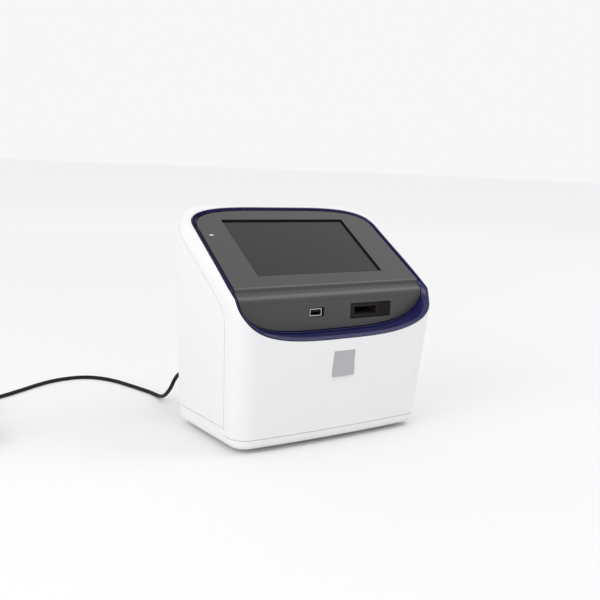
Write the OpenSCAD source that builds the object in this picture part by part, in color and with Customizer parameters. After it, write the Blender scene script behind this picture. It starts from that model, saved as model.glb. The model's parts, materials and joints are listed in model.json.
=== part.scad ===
// Bench-top automated cell counter: a flared casing with a sloping touch display, a slide port
// and a USB socket under it, an upright optics frame with a moving focus carriage inside, and a
// thin supply lead to a plug-in adapter. +Z is up, -Y is the front, z = 0 is the bench.

/* [Casing] */
// Overall depth from the brow to the rear wall
body_depth = 136.5; // [130:0.5:150]
// Width of the casing at bench level
base_w = 220.4; // [212:0.5:235]
// Outward lean of each side wall
side_lean = 3.73; // [3:0.05:4.5]
// Forward lean of the front wall
front_lean = 5.09; // [4:0.05:6]
// Slope of the display face
slope_a = 32.57; // [31:0.1:34]
// Height of the centre of the brow's round
brow_z = 125.6; // [123:0.5:129]
// Radius of the brow between front and display face
brow_r = 20; // [16:0.5:23]
// Radius of the upright front corners
corner_r = 18; // [14:0.5:20]
// Radius of those corners at the height of the brow
brow_corner_r = 22; // [20:0.5:25]
// Radius of the upright rear corners
rear_r = 10; // [8:0.5:12]
// How far the middle of the front stands out from its ends
crown = 2.8; // [1.5:0.1:3.5]
// Radius of the two rear corners of the display face
top_r = 38; // [34:0.5:42]
// Height where those corners have run out into the upright corners
shoulder_z = 182; // [176:1:186]
// Radius along the side edges of the display face
edge_r = 8; // [6:0.5:9]
// How far ahead of the crease those edges keep that radius
edge_run = 13; // [8:1:16]
// Radius along the bottom edge of the casing
base_round = 7; // [3:0.5:7.5]
// Wall thickness of the casing mouldings
wall = 3; // [2.4:0.1:3.4]
// Height of the feet below the base
foot_h = 4; // [3:0.5:6]

/* [Seams] */
// Width of the parting lines between mouldings
seam = 0.5; // [0.3:0.1:0.7]
// Height of the front parting line
front_seam_z = 14; // [12:0.5:16]
// Height of the side and rear parting line
side_seam_z = 21; // [19:0.5:24]
// Distance of the upright parting line behind the front wall
groove_back = 28.4; // [26:0.2:32]
// Radius of the bend in the parting line
groove_r = 24; // [20:0.5:27]
// Height of the centre of that bend
groove_z = 123.2; // [120:0.5:126]
// Slope of the upper parting line
groove_a = 37.2; // [36:0.1:38]
// Width of the corner strips beside the rear cover
rear_strip = 15; // [12.5:0.5:18]

/* [Trim and bezel] */
// Distance of the opening in the front shell from the side of the casing
rim_side = 4.9; // [4.4:0.1:6]
// How much narrower each side of the opening is at its rear corner
rim_taper = 2.5; // [1:0.1:3.5]
// Height of the lowest point of that opening
rim_bottom_z = 105.5; // [100:0.5:108]
// Distance of the opening from the rear wall
rim_rear = 3.7; // [3.5:0.1:5]
// Height of each lower corner of the opening
rim_corner_h = 51; // [46:0.5:54]
// Straight half of the lower edge between those corners
rim_flat = 9.4; // [4:0.2:16]
// Length of each upper corner of the opening along the slope
rim_top_len = 38.5; // [34:0.5:42]
// Straight half of the rear edge between those corners
rim_top_flat = 19.9; // [12:0.5:26]
// Fullness of the opening's corners, 2 for an ellipse
rim_power = 3.1; // [2.6:0.1:3.5]
// Width of the trim ring beside the display
ring_w = 4.8; // [4:0.1:6]
// Rise of the trim ring under the bezel
ring_low_w = 6.4; // [5.5:0.1:8]
// Clearance round the trim ring and round the bezel
ring_gap = 0.35; // [0.2:0.05:0.5]
// Depth of the trim ring
ring_deep = 6; // [5:0.5:8]
// Length of the display face ahead of the crease
crease_t = 22.5; // [21:0.25:24]
// Sink of the bezel below the casing surface
bezel_sink = 0.5; // [0.2:0.1:0.8]
// Thickness of the bezel
bezel_t = 3.4; // [3:0.1:4]
// Height of the step below the crease
step_h = 2.8; // [2:0.1:3.5]
// How far the port face stands ahead of the crease
ledge = 8.2; // [7:0.2:9.5]
// Drop of the ledge between the step and the port face
ledge_drop = 4.4; // [3:0.2:5.5]
// Radius between the ledge and the port face
ledge_r = 9; // [6:0.5:9.5]
// Slope of the port face
chin_a = 90; // [87:0.5:92]

/* [Display] */
// Bezel left of the display opening
view_left = 33.5; // [30:0.5:37]
// Bezel right of the display opening
view_right = 37.5; // [33:0.5:40]
// Distance of the display opening above the crease
view_t = 16; // [14:0.2:18]
// Bezel behind the display opening
view_rear = 15.8; // [14:0.2:18]
// How far the glass reaches under the bezel all round
glass_lap = 4.5; // [3:0.25:5]
// Thickness of the touch glass
glass_t = 1.1; // [0.7:0.1:1.5]
// Thickness of the foam between bezel and glass
gasket_t = 1; // [0.5:0.1:1.5]
// Thickness of the liquid crystal panel
lcd_t = 5; // [4:0.25:6]
// Thickness of the sheet of the display bracket
bracket_t = 1.5; // [1.2:0.1:2]
// Distance of the status light above the crease
light_t = 79; // [60:1:95]
// Bezel left of the middle of the status light
light_left = 12.1; // [8:0.1:15]
// Width of the status light
light_w = 4.2; // [3:0.1:5]
// Height of the status light
light_h = 1.6; // [1.2:0.1:2.4]

/* [Ports] */
// Width of the recess of the slide port
port_w = 51.5; // [48:0.5:54]
// Height of that recess
port_h = 15.4; // [14:0.2:17]
// Depth of that recess
port_sink = 3; // [2:0.25:3.5]
// How far the recess reaches past the middle of the slide channel
port_dx = 6.4; // [4:0.2:7]
// Middle of the slide channel
slide_x = 36.4; // [34:0.2:38]
// Height of the floor of the slide channel
slide_z = 124.4; // [123.5:0.1:125.5]
// Width of the slide channel
slide_w = 26; // [25.5:0.1:27]
// Height of the slide channel
slide_h = 6.2; // [5.2:0.1:6.4]
// Middle of the USB socket
usb_x = -24.4; // [-28:0.2:-22]
// Height of the middle of the USB socket
usb_z = 128.9; // [128:0.1:130]
// Outer width of the USB shell
usb_w = 13.1; // [12.8:0.1:13.4]
// Outer height of the USB shell
usb_h = 5.8; // [5.6:0.1:6.2]
// Sheet thickness of the USB shell
usb_t = 0.4; // [0.3:0.05:0.5]
// Width of the flared lip round the USB shell
usb_lip = 0.8; // [0.5:0.1:1]
// Length of the USB shell
usb_len = 14; // [13:0.5:16]
// Side of the square plate on the front
plate_w = 25; // [20:0.5:28]
// Height of the middle of that plate
plate_z = 80.4; // [70:0.2:90]

/* [Optics] */
// Optical axis behind the middle of the casing
axis_y = 4; // [2:0.5:6]
// Width of the optics frame
frame_w = 52; // [50:0.5:56]
// Radius of the objective barrel
barrel_r = 9; // [8:0.25:9.5]
// Radius of the two guide rods
rod_r = 3; // [2.5:0.25:3.5]
// Distance of each guide rod from the optical axis
rod_dx = 20; // [19:0.25:20.5]
// Radius of the focus lead screw
screw_r = 2; // [1.75:0.25:2.5]
// Radius of the focus motor
motor_r = 9; // [8:0.25:9]
// Height of the focus motor
motor_h = 22; // [18:1:26]
// Upward and downward travel of the focus carriage
focus_travel = 4; // [2:0.5:5]
// Travel of the slide carriage when a slide is pushed home
push_travel = 8; // [6:0.5:9]
// Radial running clearance of shafts
run_gap = 0.05; // [0.03:0.01:0.08]

/* [Rear] */
// Distance of the power switch from the left edge of the rear cover
switch_in = 40.1; // [36:0.5:46]
// Height of the middle of the power switch
switch_z = 45; // [42:0.5:48]
// Distance of the supply jack from the left edge of the rear cover
jack_in = 9.8; // [9:0.1:12]
// Height of the middle of the supply jack
jack_z = 40; // [38:0.5:42]
// Number of slots in the rear vent
vent_n = 14; // [8:1:16]
// Height of each slot
vent_h = 34; // [24:1:40]

/* [Lead] */
// Diameter of the supply lead
cord_d = 4.2; // [3.6:0.1:4.6]
// Radius at the middle of the coil's turns
coil_r = 23.1; // [22:0.1:25]
// Turns of the coil side by side
coil_rows = 3; // [3:1:4]

/* [Hidden] */

white = "whitesmoke";
trim_blue = "midnightblue";
bezel_grey = "dimgray";
board_green = "darkgreen";
$fn = 48;
eps = 0.01;
far = 400;
arc_n = 8;
edge_steps = 4;
round_steps = 3;
brow_fn = 32;
// Half length of the straight middle of the brow
brow_flat = 21.25;

// ---- driving lines of the casing, in the y-z plane ----
// The rear switch stands out behind, so the casing sits this much ahead of the middle.
casing_y = -2;
rear_y = casing_y + body_depth / 2;
brow_y = casing_y - body_depth / 2 + brow_r;
half_base = base_w / 2;
base_z = foot_h;
floor_z = foot_h + wall;
slope_y = brow_y - brow_r * sin(slope_a);
slope_z = brow_z + brow_r * cos(slope_a);
crease_y = slope_y + crease_t * cos(slope_a);
crease_z = slope_z + crease_t * sin(slope_a);
edge_start_z = crease_z - edge_run * sin(slope_a);

function half_width(z) = half_base + z * tan(side_lean);
function front_y(z) = brow_y - brow_r / cos(front_lean) - (z - brow_z) * tan(front_lean);
function slope_z_at(y) = slope_z + (y - slope_y) * tan(slope_a);
function slope_y_at(z) = slope_y + (z - slope_z) / tan(slope_a);
// A point on the slope, t behind the crease and n above the surface, as (y, z).
function slope_pt(t, n) = [crease_y + t * cos(slope_a) - n * sin(slope_a),
                           crease_z + t * sin(slope_a) + n * cos(slope_a)];

function arc(cx, cy, rx, ry, a0, a1, n = arc_n) =
    [for (i = [0:n]) let(a = a0 + (a1 - a0) * i / n) [cx + rx * cos(a), cy + ry * sin(a)]];
function mirrored(pts) = [for (i = [len(pts) - 1:-1:0]) [-pts[i][0], pts[i][1]]];
function clamp01(v) = min(1, max(0, v));

// Level outline of the casing at height z, inset all round.
function casing_outline(z, inset) =
    let(w = half_width(z) - inset, yf = front_y(z) + inset, yr = rear_y - inset,
        rf = corner_r - inset, rr = rear_r - inset,
        half = concat(
            [for (i = [0:3]) let(f = i / 4) [(w - rf) * f, yf + crown * f * f]],
            arc(w - rf, yf + crown + rf, rf, rf, 270, 360),
            arc(w - rr, yr - rr, rr, rr, 0, 90)))
    concat(half, [for (p = mirrored(half)) if (abs(p[0]) > eps) p]);

// Outline of the display face, step k down its rounded edge, in the slope's own x and t.
function top_outline(k, inset) =
    let(a = 90 * k / edge_steps, out = edge_r * (1 - sin(a)), drop = edge_r * (1 - cos(a)) + inset,
        t1 = (rear_y - inset - crease_y - drop * sin(slope_a)) / cos(slope_a)
            - out * 0.35,
        r = top_r - out - inset,
        w0 = half_width(edge_start_z) - out - inset,
        w1 = half_width(crease_z + t1 * sin(slope_a)) - out - inset,
        half = concat([[w0, -edge_run]], arc(w1 - r, t1 - r, r, r, 0, 90)))
    concat(half, mirrored(half));

brow_end_x = half_width(brow_z) - brow_corner_r;
module on_slope() {
    translate([0, crease_y, crease_z]) rotate([slope_a, 0, 0]) children();
}

// A side-view polygon (y, z) carried across the whole width.
module side_prism(pts, x0 = -far, x1 = far) {
    translate([x0, 0, 0]) rotate([90, 0, 90]) linear_extrude(x1 - x0) polygon(pts);
}

// A front-view polygon (x, z) carried from depth y0 back to y1.
module front_prism(pts, y0, y1) {
    translate([0, y1, 0]) rotate([90, 0, 0]) linear_extrude(y1 - y0) polygon(pts);
}

// Closed outer form of the casing, or its inner form when inset by the wall.
module casing_form(inset) {
    hull() {
        for (k = [0:round_steps])
            let(r = max(eps, base_round - inset), a = 90 * k / round_steps,
                z = base_z + inset + r * (1 - cos(a)))
                translate([0, 0, z]) linear_extrude(eps)
                    polygon(casing_outline(z, inset + r * (1 - sin(a))));
        for (side = [-1, 1])
            translate([side * brow_end_x, brow_y + crown, brow_z + crown * tan(slope_a)])
                scale([(brow_corner_r - inset) / (brow_r - inset), 1, 1])
                    sphere(brow_r - inset, $fn = brow_fn);
        translate([0, brow_y, brow_z]) rotate([0, 90, 0])
            cylinder(r = brow_r - inset, h = 2 * brow_flat, center = true, $fn = brow_fn);
        translate([0, 0, shoulder_z - inset]) linear_extrude(eps)
            intersection() {
                polygon(casing_outline(shoulder_z, inset));
                translate([-far, slope_y_at(shoulder_z) + edge_r]) square([2 * far, far]);
            }
        for (k = [0:edge_steps])
            on_slope() translate([0, 0, -inset - edge_r * (1 - cos(90 * k / edge_steps))])
                linear_extrude(eps) polygon(top_outline(k, inset));
    }
}

module casing_skin() {
    difference() {
        casing_form(0);
        casing_form(wall);
    }
}

// ---- parting lines ----
groove_y = front_y(groove_z) + groove_back + groove_r / cos(front_lean);
// Upright line, bend and slanted line, g behind the parting line.
function groove_path(g) =
    let(r = groove_r - g, a0 = 180 + front_lean, a1 = 90 + groove_a,
        bend = arc(groove_y, groove_z, r, r, a0, a1),
        low = bend[0], high = bend[arc_n])
    concat([low + far * [sin(front_lean), -cos(front_lean)]], bend,
           [high + far * [cos(groove_a), sin(groove_a)]]);
function groove_y_at(z) = front_y(z) + groove_back;
front_region = concat(groove_path(0), [[-far, far], [-far, -far]]);
panel_region = concat(groove_path(seam), [[far, -far]]);
base_region = [
    [-far, -far], [-far, front_seam_z], [groove_y_at(front_seam_z), front_seam_z],
    [groove_y_at(side_seam_z), side_seam_z], [far, side_seam_z], [far, -far]
];
function lifted(pts, d) = [for (p = pts) [p[0], p[1] + d]];
// Front-view outline of the rear cover.
function rear_outline(g) = [
    [-half_width(0) + rear_strip + g, 0], [half_width(0) - rear_strip - g, 0],
    [half_width(far) - rear_strip - g, far], [-half_width(far) + rear_strip + g, far]
];

// ---- outline of the opening, seen from the front (x, z) ----
rim_half = half_width(crease_z) - rim_side;
rim_corner_w = rim_half - rim_flat;
rim_corner_z = rim_bottom_z + rim_corner_h;
rim_rear_half = rim_half - rim_taper;
rim_top_w = rim_rear_half - rim_top_flat;
rim_len = (rear_y - rim_rear - crease_y) / cos(slope_a);
rim_top_z = crease_z + (rim_len - rim_top_len) * sin(slope_a);
low_steps = 14;
top_steps = 12;
// A point on a corner whose fullness is set by rim_power.
function full_corner(rx, rz, a) =
    [rx * pow(cos(a), 2 / rim_power), rz * pow(sin(a), 2 / rim_power)];
// side: inset of the sides and rear, low: how much higher the bottom is.
function opening(side, low) =
    let(lower = [for (k = [low_steps - 1:-1:0])
            full_corner(rim_corner_w - side, rim_corner_h - low, 90 * pow(k / low_steps, 2))],
        upper = [for (k = [0:top_steps])
            full_corner(rim_top_w - side, (rim_top_len - side) * sin(slope_a),
                        45 * (1 - cos(180 * k / top_steps)))],
        half = concat([[0, rim_bottom_z + low], [brow_flat, rim_bottom_z + low]],
            [for (p = lower) [rim_flat + p[0], rim_corner_z - p[1]]],
            [for (p = upper) [rim_top_flat + p[0], rim_top_z + p[1]]]))
    concat(half, [for (p = mirrored(half)) if (abs(p[0]) > eps) p]);
// The same outline seen from above (x, y), from just ahead of the crease back.
function opening_plan(side) =
    let(half = [for (p = opening(side, side)) if (p[0] > eps && p[1] > crease_z)
            [p[0], slope_y_at(p[1])]])
    concat([[rim_half - side, brow_y]], half, mirrored(half), [[side - rim_half, brow_y]]);

// Cut through the port face along Y, and through the display face straight down.
module opening_prism(side, low) {
    intersection() {
        front_prism(opening(side, low), -far, far);
        translate([-far, -far, -far]) cube([2 * far, 2 * far, far + crease_z]);
    }
    translate([0, 0, crease_z - eps]) linear_extrude(far) polygon(opening_plan(side));
}

// ---- white mouldings ----
module front_shell() {
    color(white) difference() {
        intersection() {
            casing_skin();
            side_prism(front_region);
        }
        side_prism(lifted(base_region, seam));
        opening_prism(-ring_gap, -ring_gap);
        front_prism(square_at(plate_w + 2 * plate_gap, plate_z), -far, front_y(plate_z) + plate_sink);
    }
}

plate_gap = 0.2;
plate_sink = 1;
plate_proud = 0.6;
function square_at(w, z) =
    [[-w / 2, z - w / 2], [w / 2, z - w / 2], [w / 2, z + w / 2], [-w / 2, z + w / 2]];

module side_panel(side) {
    color(white) difference() {
        intersection() {
            casing_skin();
            side_prism(panel_region, side > 0 ? 0 : -far, side > 0 ? far : 0);
        }
        side_prism(lifted(base_region, seam));
        front_prism(rear_outline(0), 0, far);
    }
}

module left_side_panel() { side_panel(-1); }
module right_side_panel() { side_panel(1); }

// ---- rear cover with its vent, switch and jack ----
fit_gap = 0.15;
switch_w = 19;
switch_h = 13;
jack_r = 4.5;
function rear_edge_x(z) = half_width(z) - rear_strip;
switch_x = switch_in - rear_edge_x(switch_z);
jack_x = jack_in - rear_edge_x(jack_z);
vent_pitch = 6;
vent_w = 2.6;
vent_x = 30;
vent_z = 120;
module rear_cover() {
    color(white) difference() {
        intersection() {
            casing_skin();
            side_prism(panel_region);
            front_prism(rear_outline(seam), 0, far);
        }
        side_prism(lifted(base_region, seam));
        for (i = [0:vent_n - 1])
            translate([vent_x + (i - (vent_n - 1) / 2) * vent_pitch - vent_w / 2, rear_y - 2 * wall, vent_z])
                cube([vent_w, 3 * wall, vent_h]);
        translate([switch_x, 0, switch_z]) rear_hole(switch_w, switch_h);
        translate([jack_x, rear_y + wall, jack_z]) rotate([90, 0, 0])
            cylinder(r = jack_r + fit_gap, h = 3 * wall);
    }
}
module rear_hole(w, h) {
    translate([-w / 2 - fit_gap, rear_y - 2 * wall, -h / 2 - fit_gap])
        cube([w + 2 * fit_gap, 4 * wall, h + 2 * fit_gap]);
}

// Feet: distances of their middles from the side, front and rear of the base
foot_side_in = 26.2;
foot_front_in = 32;
foot_rear_in = 15;
foot_r = 8;
foot_screw_r = 1.7;
foot_well = 1.8;
foot_dx = half_base - foot_side_in;
foot_places = [for (x = [-foot_dx, foot_dx], y = [front_y(base_z) + foot_front_in, rear_y - foot_rear_in])
    [x, y]];

base_slot_n = 9;
base_slot_w = 3;
base_slot_len = 40;
base_slot_x = -60;
base_slot_y = -20;
base_boss_r = 4;
base_boss_h = 8;
module base_pan() {
    color(white) difference() {
        union() {
            intersection() {
                casing_skin();
                side_prism(base_region);
            }
            for (p = foot_places)
                translate([p[0], p[1], floor_z - eps]) cylinder(r = base_boss_r, h = base_boss_h + eps);
        }
        for (i = [0:base_slot_n - 1])
            translate([base_slot_x + i * 2 * base_slot_w, base_slot_y, base_z - wall])
                cube([base_slot_w, base_slot_len, 3 * wall]);
        for (p = foot_places) translate([p[0], p[1], base_z - 1])
            cylinder(r = foot_screw_r + fit_gap, h = wall + base_boss_h);
    }
}

module feet() {
    color("dimgray") for (p = foot_places) translate([p[0], p[1], 0]) difference() {
        cylinder(r = foot_r, h = foot_h);
        translate([0, 0, -eps]) cylinder(r = 2 * foot_screw_r + fit_gap, h = foot_well + eps);
        cylinder(r = foot_screw_r + fit_gap, h = 2 * foot_h);
    }
}

screw_head_h = 1.2;
base_screw_end = floor_z + base_boss_h - 2;
module base_screws() {
    color("silver") for (p = foot_places) translate([p[0], p[1], foot_well]) {
        translate([0, 0, -screw_head_h]) cylinder(r = 2 * foot_screw_r, h = screw_head_h);
        translate([0, 0, -eps]) cylinder(r = foot_screw_r, h = base_screw_end - foot_well);
    }
}

// ---- casing skin at any place of the opening's edge ----
// Fall of the side edge's round at x, where the casing is half_width(z) wide.
function edge_fall(x, z) =
    let(over = min(edge_r, max(0, abs(x) - half_width(z) + edge_r)))
    edge_r - sqrt(edge_r * edge_r - over * over);
function brow_centre(x) =
    let(back = crown * clamp01((abs(x) - brow_flat) / (brow_end_x - brow_flat)))
    [brow_y + back, brow_z + back * tan(slope_a)];
function brow_radius(x) =
    let(over = clamp01((abs(x) - brow_end_x) / brow_corner_r)) brow_r * sqrt(1 - over * over);
// Depth of the skin at x and z: slope, run-out to the brow, brow, front wall.
function skin_y(x, z) =
    let(c = brow_centre(x), r = brow_radius(x), s = slope_pt(-edge_run, -edge_fall(x, edge_start_z)),
        turn = atan2(s[1] - c[1], s[0] - c[0]) + acos(r / norm(s - c)),
        touch = c + r * [cos(turn), sin(turn)])
    z > s[1] ? slope_y_at(z) + edge_fall(x, z) / sin(slope_a)
    : z > touch[1] ? touch[0] + (z - touch[1]) * (s[0] - touch[0]) / (s[1] - touch[1])
    : z > c[1] - r * sin(front_lean) ? c[0] - sqrt(r * r - (z - c[1]) * (z - c[1]))
    : c[0] - r / cos(front_lean) - (z - c[1]) * tan(front_lean);

// ---- trim ring: a six-point section carried round the opening ----
lip_h = 0.25;
lip_w = 0.5;
bevel_w = 1.6;
bevel_low_w = 2.6;
bevel_deep = 2.5;
ring_lift = 0.3;
// Height over which the ring's depth turns from straight back to straight down.
ring_turn = 40;
function ring_section(s) =
    let(o = opening(0, 0)[s], m = opening(lip_w, lip_w)[s], q = opening(bevel_w, bevel_low_w)[s],
        n = opening(ring_w, ring_low_w)[s],
        f = 90 * clamp01((o[1] - rim_corner_z) / ring_turn),
        g = (90 - slope_a) * clamp01((o[1] - brow_z) / (edge_start_z - brow_z)),
        back = [0, cos(f), -sin(f)], deep = [0, cos(g), -sin(g)],
        po = [o[0], skin_y(o[0], o[1]), o[1]] - lip_h * deep,
        pm = [m[0], skin_y(m[0], m[1]), m[1]] - lip_h * deep,
        pq = [q[0], skin_y(q[0], q[1]), q[1]] + bevel_deep * deep,
        pn = [n[0], bezel_y(n[1]), n[1]] - ring_lift * deep)
    [po, pm, pq, pn, pn + ring_deep / 2 * back, po + ring_deep * back];
module trim_ring() {
    count = len(opening(0, 0));
    sections = [for (s = [0:count - 1]) ring_section(s)];
    size = len(sections[0]);
    pts = [for (s = sections) for (p = s) p];
    quads = [for (s = [0:count - 1]) for (k = [0:size - 1])
        [s * size + k, s * size + (k + 1) % size,
         ((s + 1) % count) * size + (k + 1) % size, ((s + 1) % count) * size + k]];
    color(trim_blue) polyhedron(pts, quads, convexity = 6);
}

// ---- bezel: slope, step, ledge and upright port face ----
// Rounds the corners of a path: each entry is [point, radius].
function rounded(path) = [
    for (i = [0:len(path) - 1])
        let(p = path[i][0], r = path[i][1])
        if (r == 0 || i == 0 || i == len(path) - 1) p
        else
            let(u = (path[i - 1][0] - p) / norm(path[i - 1][0] - p),
                v = (path[i + 1][0] - p) / norm(path[i + 1][0] - p),
                half = acos(u * v) / 2, bis = (u + v) / norm(u + v),
                c = p + bis * r / sin(half),
                a0 = atan2((p + u * r / tan(half) - c)[1], (p + u * r / tan(half) - c)[0]),
                a1 = atan2((p + v * r / tan(half) - c)[1], (p + v * r / tan(half) - c)[0]),
                turn = (a1 - a0) - 360 * round((a1 - a0) / 360))
            each [for (k = [0:5]) c + r * [cos(a0 + turn * k / 5), sin(a0 + turn * k / 5)]]
];
step_a = 80;
step_round = 1.5;
chin_low_rise = 4;
crease_pt = slope_pt(0, -bezel_sink);
step_pt = crease_pt - step_h * [cos(step_a) / sin(step_a), 1];
chin_y = crease_y - ledge;
chin_z = step_pt[1] - ledge_drop;
chin_low_z = rim_bottom_z + chin_low_rise;
ledge_a = atan2(ledge_drop, step_pt[0] - chin_y);
chin_dy = cos(chin_a) / sin(chin_a);
function chin_y_at(z) = chin_y - (chin_z - z) * chin_dy;
// The inner corner of a sheet under p, where its slope turns from a to b.
function sheet_corner(p, a, b) =
    p + bezel_t / cos((a - b) / 2) * [sin((a + b) / 2), -cos((a + b) / 2)];
bezel_far = slope_pt(body_depth, -bezel_sink);
bezel_face = rounded([
    [bezel_far, 0],
    [crease_pt, step_round],
    [step_pt, step_round],
    [[chin_y, chin_z], ledge_r],
    [[chin_y_at(chin_low_z), chin_low_z], 0]
]);
bezel_back = rounded([
    [[chin_y_at(chin_low_z) + bezel_t / sin(chin_a), chin_low_z], 0],
    [sheet_corner([chin_y, chin_z], chin_a, ledge_a), ledge_r - bezel_t],
    [sheet_corner(step_pt, ledge_a, step_a), 0],
    [sheet_corner(crease_pt, step_a, slope_a), 0],
    [slope_pt(body_depth, -bezel_sink - bezel_t), 0]
]);
// Depth of the bezel's face at height z.
function bezel_y(z) = lookup(z, [for (p = bezel_face) [p[1], p[0]]]);
port_x = slide_x + port_dx;
port_z = slide_z + slide_h / 2;
port_y = chin_y_at(port_z);
usb_y = chin_y_at(usb_z);
usb_back = 0.4;

module on_chin(x, z) {
    translate([x, chin_y_at(z), z]) rotate([chin_a, 0, 0]) children();
}
view_w = 2 * (rim_half - ring_w) - view_left - view_right;
view_x = (view_left - view_right) / 2;
view_h = rim_len - ring_w - view_rear - view_t;
light_x = rim_half - ring_w - light_left;
module display_window(grow) {
    on_slope() translate([view_x - view_w / 2 - grow, view_t - grow, -far / 2])
        cube([view_w + 2 * grow, view_h + 2 * grow, far]);
}
board_boss_r = 2.5;
port_board_y = usb_y + usb_back + usb_len;
board_boss_dx = 11;
boss_places = [for (x = [usb_x - board_boss_dx, usb_x + board_boss_dx]) [x, usb_z]];
module display_bezel() {
    color(bezel_grey) difference() {
        union() {
            intersection() {
                side_prism(concat(bezel_face, bezel_back));
                opening_prism(ring_w + ring_gap, ring_low_w + ring_gap);
            }
            for (p = boss_places)
                translate([p[0], port_board_y, p[1]]) rotate([90, 0, 0])
                    cylinder(r = board_boss_r, h = port_board_y - usb_y - bezel_t / 2);
        }
        display_window(0);
        on_slope() translate([-light_x - light_w / 2 - fit_gap, light_t - light_h / 2 - fit_gap, -far / 2])
            cube([light_w + 2 * fit_gap, light_h + 2 * fit_gap, far]);
        on_chin(port_x, port_z) translate([-port_w / 2, -port_h / 2, -4 * bezel_t])
            cube([port_w, port_h, far]);
        translate([usb_x, -far / 2, usb_z]) usb_block(usb_lip + fit_gap, far);
    }
}

module badge_plate() {
    color("gainsboro") front_prism(square_at(plate_w, plate_z), front_y(plate_z) - plate_proud,
                                   front_y(plate_z) + plate_sink);
}

pipe_len = 6;
pipe_flange = 1.2;
module status_light_pipe() {
    color("aliceblue") on_slope() {
        translate([-light_x - light_w / 2, light_t - light_h / 2, -bezel_sink - pipe_len])
            cube([light_w, light_h, pipe_len]);
        translate([-light_x - light_w, light_t - 1.5 * light_h, bezel_n - pipe_flange])
            cube([2 * light_w, 3 * light_h, pipe_flange]);
    }
}

// ---- display stack, under the bezel ----
bezel_n = -bezel_sink - bezel_t;
glass_n = bezel_n - gasket_t;
module slope_plate(grow, top, t) {
    on_slope() translate([view_x - view_w / 2 - grow, view_t - grow, top - t])
        cube([view_w + 2 * grow, view_h + 2 * grow, t]);
}
gasket_in = 0.8;
module display_gasket() {
    color("black") difference() {
        slope_plate(glass_lap, bezel_n, gasket_t);
        slope_plate(gasket_in, bezel_n + 1, gasket_t + 2);
    }
}
module touch_glass() { color("darkslategray") slope_plate(glass_lap, glass_n, glass_t); }
lcd_n = glass_n - glass_t;
module lcd_panel() { color("silver") slope_plate(glass_lap - 1, lcd_n, lcd_t); }
bracket_n = lcd_n - lcd_t;
tray_grow = glass_lap + fit_gap;
tray_t0 = view_t - tray_grow - bracket_t;
tray_t1 = view_t + view_h + tray_grow + bracket_t;
tab_w = 12;
tab_len = 5;
tab_lap = bracket_t / 2;
tab_in = 13;
boss_r = 3;
boss_h = 1.5;
boss_in = 25;
bracket_bosses = [for (x = [-1, 1], t = [view_t + boss_in, view_t + view_h - boss_in])
    [view_x + x * (view_w / 2 - boss_in), t]];
vent_slot_w = 16;
vent_slot_dx = 30;
vent_slot_in = 21;
display_board_t = 1.6;
display_board_in = 15;
display_board_n = bracket_n - bracket_t - boss_h - display_board_t;
bracket_screw_h = 1.4;
module display_bracket() {
    color("lightgray") difference() {
        union() {
            difference() {
                slope_plate(tray_grow + bracket_t, bezel_n, bezel_n - bracket_n + bracket_t);
                slope_plate(tray_grow, bezel_n + 1, bezel_n - bracket_n + 1);
            }
            for (x = [-1, 1], t = [tray_t0 - tab_len, tray_t1 - tab_lap]) on_slope()
                translate([view_x + x * (view_w / 2 - tab_in) - tab_w / 2, t, bezel_n - bracket_t])
                    cube([tab_w, tab_len + tab_lap, bracket_t]);
            for (p = bracket_bosses) on_slope()
                translate([p[0], p[1], bracket_n - bracket_t - boss_h])
                    cylinder(r = boss_r, h = boss_h + bracket_t / 2);
        }
        for (x = [-vent_slot_dx, 0, vent_slot_dx]) on_slope()
            translate([view_x + x - vent_slot_w / 2, view_t + vent_slot_in, bracket_n - 2 * bracket_t])
                cube([vent_slot_w, view_h - 2 * vent_slot_in, 3 * bracket_t]);
    }
}
module display_board() {
    color(board_green) slope_plate(-display_board_in, display_board_n + display_board_t, display_board_t);
}
module bracket_screws() {
    color("silver") for (p = bracket_bosses) on_slope()
        translate([p[0], p[1], display_board_n - bracket_screw_h])
            cylinder(r = 2.2, h = bracket_screw_h);
}

// ---- USB socket ----
usb_lip_t = 0.6;
tongue_in = 2;
tongue_h = 1.9;
port_board_w = 34;
port_board_h = 22;
port_board_drop = 12;
port_board_t = 1.6;
// The shell's outer block, grown all round, from y = 0 back.
module usb_block(grow, length) {
    translate([-usb_w / 2 - grow, 0, -usb_h / 2 - grow])
        cube([usb_w + 2 * grow, length, usb_h + 2 * grow]);
}
module usb_shell() {
    color("silver") translate([usb_x, usb_y + usb_back, usb_z]) difference() {
        union() {
            usb_block(0, usb_len);
            usb_block(usb_lip, usb_lip_t);
        }
        translate([0, -1, 0]) usb_block(-usb_t, usb_len - usb_t + 1);
        translate([0, -1, 0]) usb_block(0, 1 + usb_lip_t / 2);
    }
}
module usb_tongue() {
    color("white") translate([usb_x - usb_w / 2 + 1, usb_y + usb_back + tongue_in, usb_z])
        cube([usb_w - 2, usb_len - tongue_in - usb_t, tongue_h]);
}
module port_board() {
    color(board_green) translate([usb_x - port_board_w / 2, port_board_y, usb_z - port_board_drop])
        cube([port_board_w, port_board_t, port_board_h]);
}

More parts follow.
